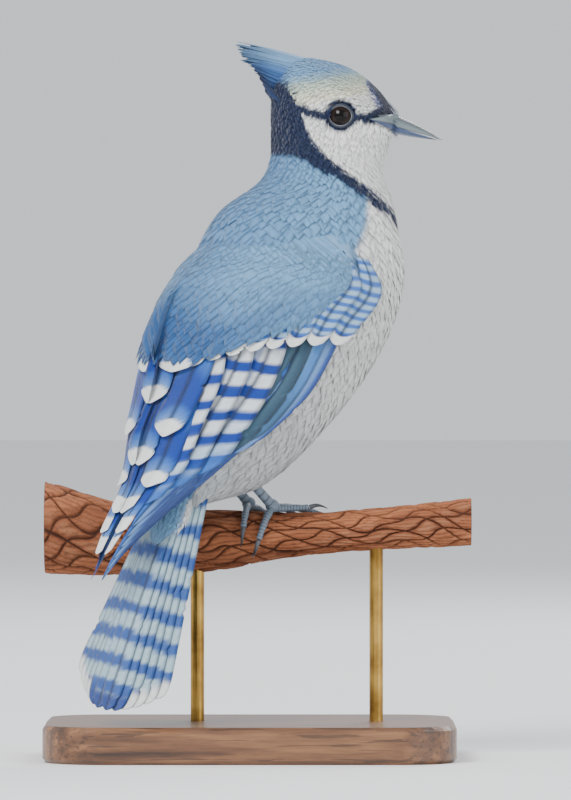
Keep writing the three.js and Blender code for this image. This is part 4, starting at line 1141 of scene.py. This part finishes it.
rectrices = []
share, across = blade(*TAIL_GRID)
for pair in range(PAIRS):
    spread = pair / (PAIRS - 1)
    length = 1 - 0.0136 * pair * (0.4 + 0.2 * pair)
    outer = ROOT_HALF * (0.45 + 0.55 * spread) * (1 - share) + TIP_HALF * (0.3 + 0.7 * spread) * share
    width = 6.5 + 7.5 * np.minimum(share * 1.3, 1)
    inner = np.maximum(outer - width, 0.4 if pair else -3)
    rounded = np.sqrt(np.clip(1 - (np.clip(share - 0.9, 0, 1) / 0.1) ** 2, 0, 1))
    half = (outer - inner) / 2 * (0.35 + 0.65 * rounded)
    along = share * length * (1 - 0.012 * across**2)
    run = along * TAIL_LENGTH
    for sign in (1, -1):
        number = 2 * pair + (sign > 0)
        notch = parted(np.random.default_rng(200 + number), share, across, (0.4, 0.97), 0.2, 0.008)
        aside = across * half * (1 - notch)
        side = sign * ((inner + outer) / 2 + aside)
        lift = -0.95 * pair - (0.48 if sign < 0 and not pair else 0) - 0.015 * half * across
        lift = lift + 0.3 * (1 - across**2)
        upper, lower = tail_place(along, side, lift), tail_place(along, side, lift - 0.3)
        colour = tail_paint(run, across * sign, aside, pair, 3 + number, length * TAIL_LENGTH)
        rectrices.append(feather_arrays(upper, lower, colour, aside, run, share, across))
points, colours, maps = fan(rectrices)
put_vanes("tail_feathers", points, TAIL_GRID, flight_finish, colours, maps, stands_for=("tail",))

# Tail coverts
# Soft feathers above and below the tail hide the quills where they leave the body, white below and blue
# above. They sit on a wedge of skin and are laid in rows that shorten towards the tail's middle.
COVERT_REACH, COVERT_MIDDLE = 0.42, -2.3


def covert_halves(share):
    """Half width and half thickness of the wedge, in mm, at a share of its length."""
    return [np.interp(share, [0, 0.36, 0.72, 1], sizes) for sizes in ([8, 10.5, 9.5, 2.5], [7, 6, 4, 1.0])]


WEDGE_ROWS, WEDGE_SIDES = 30, 40
half_wide, half_thick = covert_halves(np.linspace(0, 1, WEDGE_ROWS)[:, None])
along = np.linspace(0, COVERT_REACH, WEDGE_ROWS)[:, None]
angle = circle(WEDGE_SIDES)
wedge = capped(tail_place(along, half_wide * np.cos(angle), COVERT_MIDDLE + half_thick * np.sin(angle)))
down = np.linspace(0, 1, len(wedge))[:, None]
# The wedge gets the coverts' white and blue, darkened by painted shade under the feathers.
put_mesh(
    "covert_wedge",
    wedge,
    grid_quads(len(wedge), WEDGE_SIDES, wrapped=True)[:, ::-1],
    skin_finish,
    colours=over(GREY_WHITE, MANTLE, rise(np.sin(angle) + 0 * down, -0.2, 0.2)) * SHADE_UNDER_FEATHERS,
    maps={"OFBake": np.stack(np.broadcast_arrays(angle / (2 * np.pi), down), -1)},
)
COVERT_COUNT, COVERT_GRID = 360, (5, 5)
down_pick, round_pick = scattered(COVERT_COUNT)
start = down_pick * 0.3
angle = round_pick * 2 * np.pi
share, across = blade(*COVERT_GRID)
bowed = 1 - 0.12 * across**2
reach = start[:, None, None] + share * (0.13 + 0.03 * np.sin(angle))[:, None, None] * bowed
half_wide, half_thick = covert_halves(reach / COVERT_REACH)
swung = angle[:, None, None] + across * 4.0 * blade_half(share, 0.3) / (half_wide * 0.9 + 1)
stand = -0.6 + 1.5 * share * bowed
points = []
for drop in (0, 0.14):
    level = COVERT_MIDDLE + (half_thick + stand - drop) * np.sin(swung)
    points.append(tail_place(reach, (half_wide + stand - drop) * np.cos(swung), level))
points = np.stack(points, 1).reshape(COVERT_COUNT, -1, 3)
blue = over(GREY_WHITE, MANTLE, rise(np.sin(angle), 0.1, 0.5)) * (1 + rng.normal(0, 0.06, (COVERT_COUNT, 1)))
colours = blue[:, None] + np.zeros(points.shape)
maps = vane_maps((angle / (2 * np.pi), start / COVERT_REACH), share, across, share * 14, across * 4)
put_vanes("tail_covert_feathers", points, COVERT_GRID, body_finish, colours, maps)

# Perch
# The perch is a sawn length of pine branch, thicker at its left end. Its bark is in long overlapping
# plates with dark cracks between them; the sawn ends show pale rings inside a rim of bark.
PERCH_LEFT, PERCH_RIGHT = -78, 84
PERCH_LINE = [(-78, 6, 87.5), (-46, 4.5, 82.6), (-15, 2, 82.6), (8, 1, 84.2), (40, 0, 86.4), (84, 1, 89.6)]
PERCH_RADII = np.array([17.5, 13.2, 11.6, 8.3, 8, 9])[:, None]
perch_line = evenly(PERCH_LINE)


def perch_radius(share):
    """The branch's radius under its bark's ridges, at a share of its length."""
    return spline(PERCH_RADII, share)[..., 0]


def perch_point(x, degrees, height):
    """A place on the branch at an x, so many degrees round from its top towards the far side."""
    share = (x - PERCH_LEFT) / (PERCH_RIGHT - PERCH_LEFT)
    centre = perch_line(share)
    radius = perch_radius(share) + height
    angle = np.radians(degrees)
    y = centre[..., 1] + radius * np.sin(angle)
    return np.stack([x + 0 * y, y, centre[..., 2] + radius * np.cos(angle)], -1)


BARK_SIDES, BARK_ROWS, BARK_ARC, PLATE = 180, 460, 10.5, 7.33


def bark_cracks(x, turn):
    """Distance in mm from the nearest crack, for two crossing families of slanting wavy cracks."""
    wander = 2.2 * np.sin(x * 0.11 + 2 * np.sin(turn)) + 1.3 * np.sin(x * 0.31 + turn * 3)
    arc = turn * BARK_ARC + wander
    first = np.abs(((arc + x * 0.42) / PLATE + 0.22 * np.sin(x * 0.17)) % 1 - 0.5) * 7.0
    second = np.abs(((arc - x * 0.36) / PLATE + 0.2 * np.sin(x * 0.13 + 1)) % 1 - 0.5) * 7.0
    return first, second


x = np.linspace(PERCH_LEFT, PERCH_RIGHT, BARK_ROWS)[:, None]
turn = circle(BARK_SIDES)
first, second = bark_cracks(x, turn)
crack = np.maximum(rise(first, 0.6, 0.08), rise(second, 0.6, 0.08))
ridges = 0.14 * np.sin(turn * 34 + 2.5 * np.sin(x * 0.23 + turn * 4) + x * 0.12) * (1 - crack)
lip = np.minimum(rise(first, 0.4, 2.2), rise(second, 0.4, 2.2))
bark = perch_point(x, np.degrees(turn), -0.9 * crack + 0.3 * lip - 0.3 + ridges)
plate = np.floor((turn * BARK_ARC + x * 0.42) / PLATE) * 12.9
plate = np.sin(plate + np.floor((turn * BARK_ARC - x * 0.36) / PLATE) * 7.7)
bark_colour = over(paint(172, 108, 74), paint(122, 70, 46), 0.5 + 0.5 * plate)
bark_colour = over(bark_colour, paint(196, 140, 104), 0.35 * lip * rise(plate, 0.2, 0.9))
# Painted shade in the fine grooves between the ridges; the cracks are painted darkest, partly the bark's own
# dark inner layer and partly painted shade.
bark_colour = over(bark_colour, paint(92, 54, 38), 0.5 * rise(ridges, -0.04, -0.12))
bark_colour = over(bark_colour, paint(52, 30, 22), crack)
bark_finish, shader, dye = new_finish("pine_bark", Roughness=0.9, Specular_IOR_Level=0.2)
coarse = noise(dye, 90, 6, stretch=(0.5, 1, 1), rough=0.7)
flaky = noise(dye, 700, 4, stretch=(0.4, 1, 1))
colour = painted(dye).tinted((coarse - 0.35) * 1.1, (0.16, 0.062, 0.03))
colour = colour.tinted(flaky.sum("GREATER_THAN", 0.6) * 0.3, (0.03, 0.016, 0.01))
join(shader, Base_Color=colour, Normal=bump(dye, coarse * 0.7 + flaky * 0.5, 0.0016))
bark_share = (x - PERCH_LEFT) / (PERCH_RIGHT - PERCH_LEFT)
put_mesh(
    "branch_bark",
    bark,
    grid_quads(BARK_ROWS, BARK_SIDES, wrapped=True)[:, ::-1],
    bark_finish,
    colours=bark_colour,
    maps={"OFBake": np.stack(np.broadcast_arrays(bark_share, turn / (2 * np.pi)), -1)},
    stands_for=("perch_branch",),
)
sawn_finish = speckled("sawn_end", 500, 4, 0.5, (0.24, 0.13, 0.06), 0.0003, rough=0.8, gloss=0.2)
SAWN_RINGS = 60
shares = np.linspace(1, 0, SAWN_RINGS)[:, None]
rings = rise(np.sin(shares * 62 + 1.5 * np.sin(turn * 2)), -0.3, 0.9)
sawn = over(paint(214, 178, 130), paint(168, 122, 78), 0.7 * rings)
sawn = over(sawn, paint(92, 56, 36), rise(shares, 0.9, 0.94))
for name, edge, way in (("left_sawn_end", bark[0], -1), ("right_sawn_end", bark[-1], 1)):
    middle = edge.mean(axis=0)
    face = middle + (edge - middle) * shares[..., None]
    face[..., 0] += way * (0.12 * rise(shares, 1, 0.95) + 0.04 * np.sin(shares * 60))
    quads = grid_quads(SAWN_RINGS, BARK_SIDES, wrapped=True)[:, ::-way]
    put_mesh(name, face, quads, sawn_finish, colours=sawn)

# Legs and feet
# The legs are bare slate-grey shanks plated with scutes in front; the toes grip the branch, three in
# front and one behind, each ringed with scutes and padded below, and end in curved dark claws.
FEET = {
    "right": (8.5, -18, 7, {"hind": (-110, 15), "inner": (54, 15), "middle": (33, 20), "outer": (10, 14)}),
    "left": (-0.5, 8, -5, {"hind": (-97, 16), "inner": (46, 15), "middle": (66, 19), "outer": (90, 15)}),
}
TOE_RADIUS, TOE_TIP, CLAW_LENGTH, CLAW_RADIUS, PALM, TARSUS = 1.5, 1.05, 7, 0.95, 2.7, 1.9
GAP = 0.3
TOE_HEIGHT = TOE_RADIUS + 0.15 + GAP
TOE_SIDES, CLAW_SIDES, SCUTE_PITCH = 24, 20, 1.15
SLATE, SLATE_DARK = paint(118, 132, 146), paint(70, 80, 92)
leg_finish = speckled("scuted_skin", 1300, 3, 0.45, (0.05, 0.065, 0.08), 0.00022, rough=0.55, gloss=0.4)


def tube(line, radii, sides=TOE_SIDES):
    """A round bar along a line of points: rings square to the line, carried on without twisting, with
    a pole at each end. The radii may vary along it."""
    run = np.gradient(line, axis=0)
    run = run / np.linalg.norm(run, axis=1, keepdims=True)
    across = np.cross(run, np.array([0.31, -0.86, 0.4]))
    across = across / np.linalg.norm(across, axis=1, keepdims=True)
    other = np.cross(run, across)
    angle = circle(sides)
    ring = across[:, None] * np.cos(angle)[None, :, None] + other[:, None] * np.sin(angle)[None, :, None]
    points = capped(line[:, None] + ring * radii[:, None, None])
    return points, grid_quads(len(points), sides, wrapped=True)


def ringed(colours, sides=TOE_SIDES):
    """A tube's colours, one for each of its rings."""
    return np.repeat(doubled_ends(colours)[:, None], sides, 1).reshape(-1, 3)


def toe_line(foot_x, start, heading, length, shares, height):
    """The middle line of a toe over the branch's skin: reach along the heading is unrolled round it."""
    angle = np.radians(heading)
    arc = perch_radius((foot_x - PERCH_LEFT) / (PERCH_RIGHT - PERCH_LEFT) + np.zeros(1))[0] + TOE_RADIUS
    reach = shares * length
    turned = start + np.degrees(reach * np.sin(angle) / arc)
    return perch_point(foot_x + reach * np.cos(angle), turned, height)


def joined(parts):
    """Several closed shapes in one mesh's arrays."""
    offsets = np.cumsum([0] + [len(part[0].reshape(-1, 3)) for part in parts[:-1]])
    points = np.concatenate([part[0].reshape(-1, 3) for part in parts])
    quads = np.concatenate([part[1] + offset for part, offset in zip(parts, offsets)])
    return points, quads


for name, (foot_x, start, side, toes) in FEET.items():
    parts, shades = [], []
    for toe, (heading, length) in toes.items():
        shares = np.linspace(0, 1, 90)
        scutes = np.abs(np.sin(shares * np.pi * length / SCUTE_PITCH))
        radii = TOE_RADIUS + (TOE_TIP - TOE_RADIUS) * shares
        radii = radii + 0.09 * np.cos(shares * np.pi * 6) + 0.05 * scutes**0.4
        radii[-3:] *= np.array([0.92, 0.75, 0.45])
        parts.append(tube(toe_line(foot_x, start, heading, length, shares, TOE_HEIGHT), radii))
        shades.append(ringed(over(SLATE_DARK, SLATE, rise(scutes, 0.1, 0.6))))
        shares = np.linspace(0, 1, 40)
        reach = length + GAP * 1.2 + CLAW_LENGTH * shares
        line = toe_line(foot_x, start, heading, 1, reach, TOE_HEIGHT + np.sin(shares * np.pi) - shares * 0.8)
        points, quads = tube(line, CLAW_RADIUS * (1 - 0.86 * shares**1.2), CLAW_SIDES)
        dark = ringed(over(paint(74, 78, 84), paint(22, 23, 26), rise(shares, 0.0, 0.6)), CLAW_SIDES)
        claw = f"{name}_{toe}_claw"
        put_mesh(f"{name}_{toe}_talon", points, quads, horn_finish, dark, stands_for=(claw,))
    ankle = perch_point(np.array(float(foot_x)), start, PALM + GAP)
    palm = ball(24, 32)[0]
    parts.append((ankle + palm * PALM * 0.98, grid_quads(24, 32, wrapped=True)[:, ::-1]))
    shades.append(np.repeat(SLATE[None], palm[..., 0].size, 0))
    points, quads = joined(parts)
    colours = np.concatenate(shades)
    put_mesh(f"{name}_toes", points, quads, leg_finish, colours, stands_for=(f"{name}_foot",))
    knee, hip = in_body((-16, side, 111)), in_body((-18, side, 121))
    shares = np.linspace(0, 1, 140)
    line = spline(np.array([ankle, (ankle + knee) / 2, knee, hip]), shares)
    scutes = np.abs(np.sin(shares * 40))
    points, quads = tube(line, TARSUS - 0.25 * np.sin(shares * np.pi) ** 2 + 0.1 * scutes**0.6 - 0.05)
    tone = ringed(over(SLATE_DARK, SLATE, rise(scutes, 0.1, 0.6)))
    put_mesh(f"{name}_shank", points, quads, leg_finish, tone, stands_for=(f"{name}_leg",))

# Stand
# The base is a slab of dark stained oak with rounded corners, waxed; two brass rods are let into it and
# into the underside of the branch.
wood_finish, shader, dye = new_finish("waxed_oak", Coat_Weight=0.3, Coat_Roughness=0.2)
grain = noise(dye, 22, 5, stretch=(0.7, 9, 9), rough=0.6)
pores = noise(dye, 260, 2, stretch=(0.12, 3, 3))
stains = [(0.32, paint(64, 40, 24)), (0.5, paint(104, 68, 42)), (0.68, paint(142, 98, 62))]
wood = dye.node("ValToRGB", {0: grain}, stops=stains)
wood = wood.tinted(pores.sum("GREATER_THAN", 0.6) * 0.55, (0.018, 0.01, 0.006))
relief = bump(dye, grain * 0.4 + pores * 0.6, 0.0004)
join(shader, Base_Color=wood, Roughness=grain * 0.25 + 0.3, Normal=relief)
brass_finish, shader, dye = new_finish("brushed_brass", Metallic=1.0)
brushed = noise(dye, 120, 4, stretch=(12, 12, 0.6))
tarnish = noise(dye, 60, 4)
tones = [(0.35, paint(132, 98, 46)), (0.6, paint(190, 152, 78))]
brass = dye.node("ValToRGB", {0: tarnish}, stops=tones)
join(shader, Base_Color=brass, Roughness=brushed * 0.3 + 0.2, Normal=bump(dye, brushed, 0.0001))
stand_finishes = {"stand_base": wood_finish, "stand_rod_1": brass_finish, "stand_rod_2": brass_finish}
for node, material in stand_finishes.items():
    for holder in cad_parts[node].material_slots:
        holder.material = material

# Floor, light and camera
# A plain pale floor, one large soft light from the upper left, a weaker one from the right and a pale
# sky. The camera looks along +Y from far off with a long lens, as flat as the painting.
floor_finish, shader, dye = new_finish("pale_floor", Roughness=0.9, Specular_IOR_Level=0.1)
greys = [(0, (0.84, 0.85, 0.86)), (1, (0.87, 0.87, 0.87))]
join(shader, Base_Color=dye.node("ValToRGB", {0: noise(dye, 2, 2)}, stops=greys))
floor_mesh = bpy.data.meshes.new("floor")
floor_mesh.from_pydata([(-9, -9, 0), (9, -9, 0), (9, 9, 0), (-9, 9, 0)], [], [(0, 1, 2, 3)])
floor_mesh.materials.append(floor_finish)
floor = bpy.data.objects.new("floor", floor_mesh)
bpy.context.scene.collection.objects.link(floor)

world = bpy.data.worlds.new("studio")
world.use_nodes = True
world.node_tree.nodes["Background"].inputs["Color"].default_value = (0.90, 0.93, 0.98, 1)
world.node_tree.nodes["Background"].inputs["Strength"].default_value = 0.9
bpy.context.scene.world = world


def aimed(thing, place, target):
    """Puts a light or camera at a place and turns its -Z towards the target."""
    thing.location = place
    thing.rotation_euler = (Vector(target) - Vector(place)).to_track_quat("-Z", "Y").to_euler()
    bpy.context.scene.collection.objects.link(thing)


for name, place, power, size in (
    ("key", (-0.9, -1.5, 1.6), 60, 1.0),
    ("fill", (1.7, -1.2, 0.7), 16, 1.6),
    ("rim", (0.7, 1.5, 1.3), 20, 0.9),
):
    lamp = bpy.data.lights.new(name, "AREA")
    lamp.energy = power
    lamp.size = size
    aimed(bpy.data.objects.new(name, lamp), place, (0, 0, 0.15))

lens = bpy.data.cameras.new("camera")
lens.lens = 400
lens.sensor_fit = "VERTICAL"
lens.sensor_height = 36
lens.clip_start = 0.05
lens.clip_end = 60
camera = bpy.data.objects.new("camera", lens)
aimed(camera, (0.0135, -3.378, 0.166), (0.0135, 0, 0.136))
bpy.context.scene.camera = camera
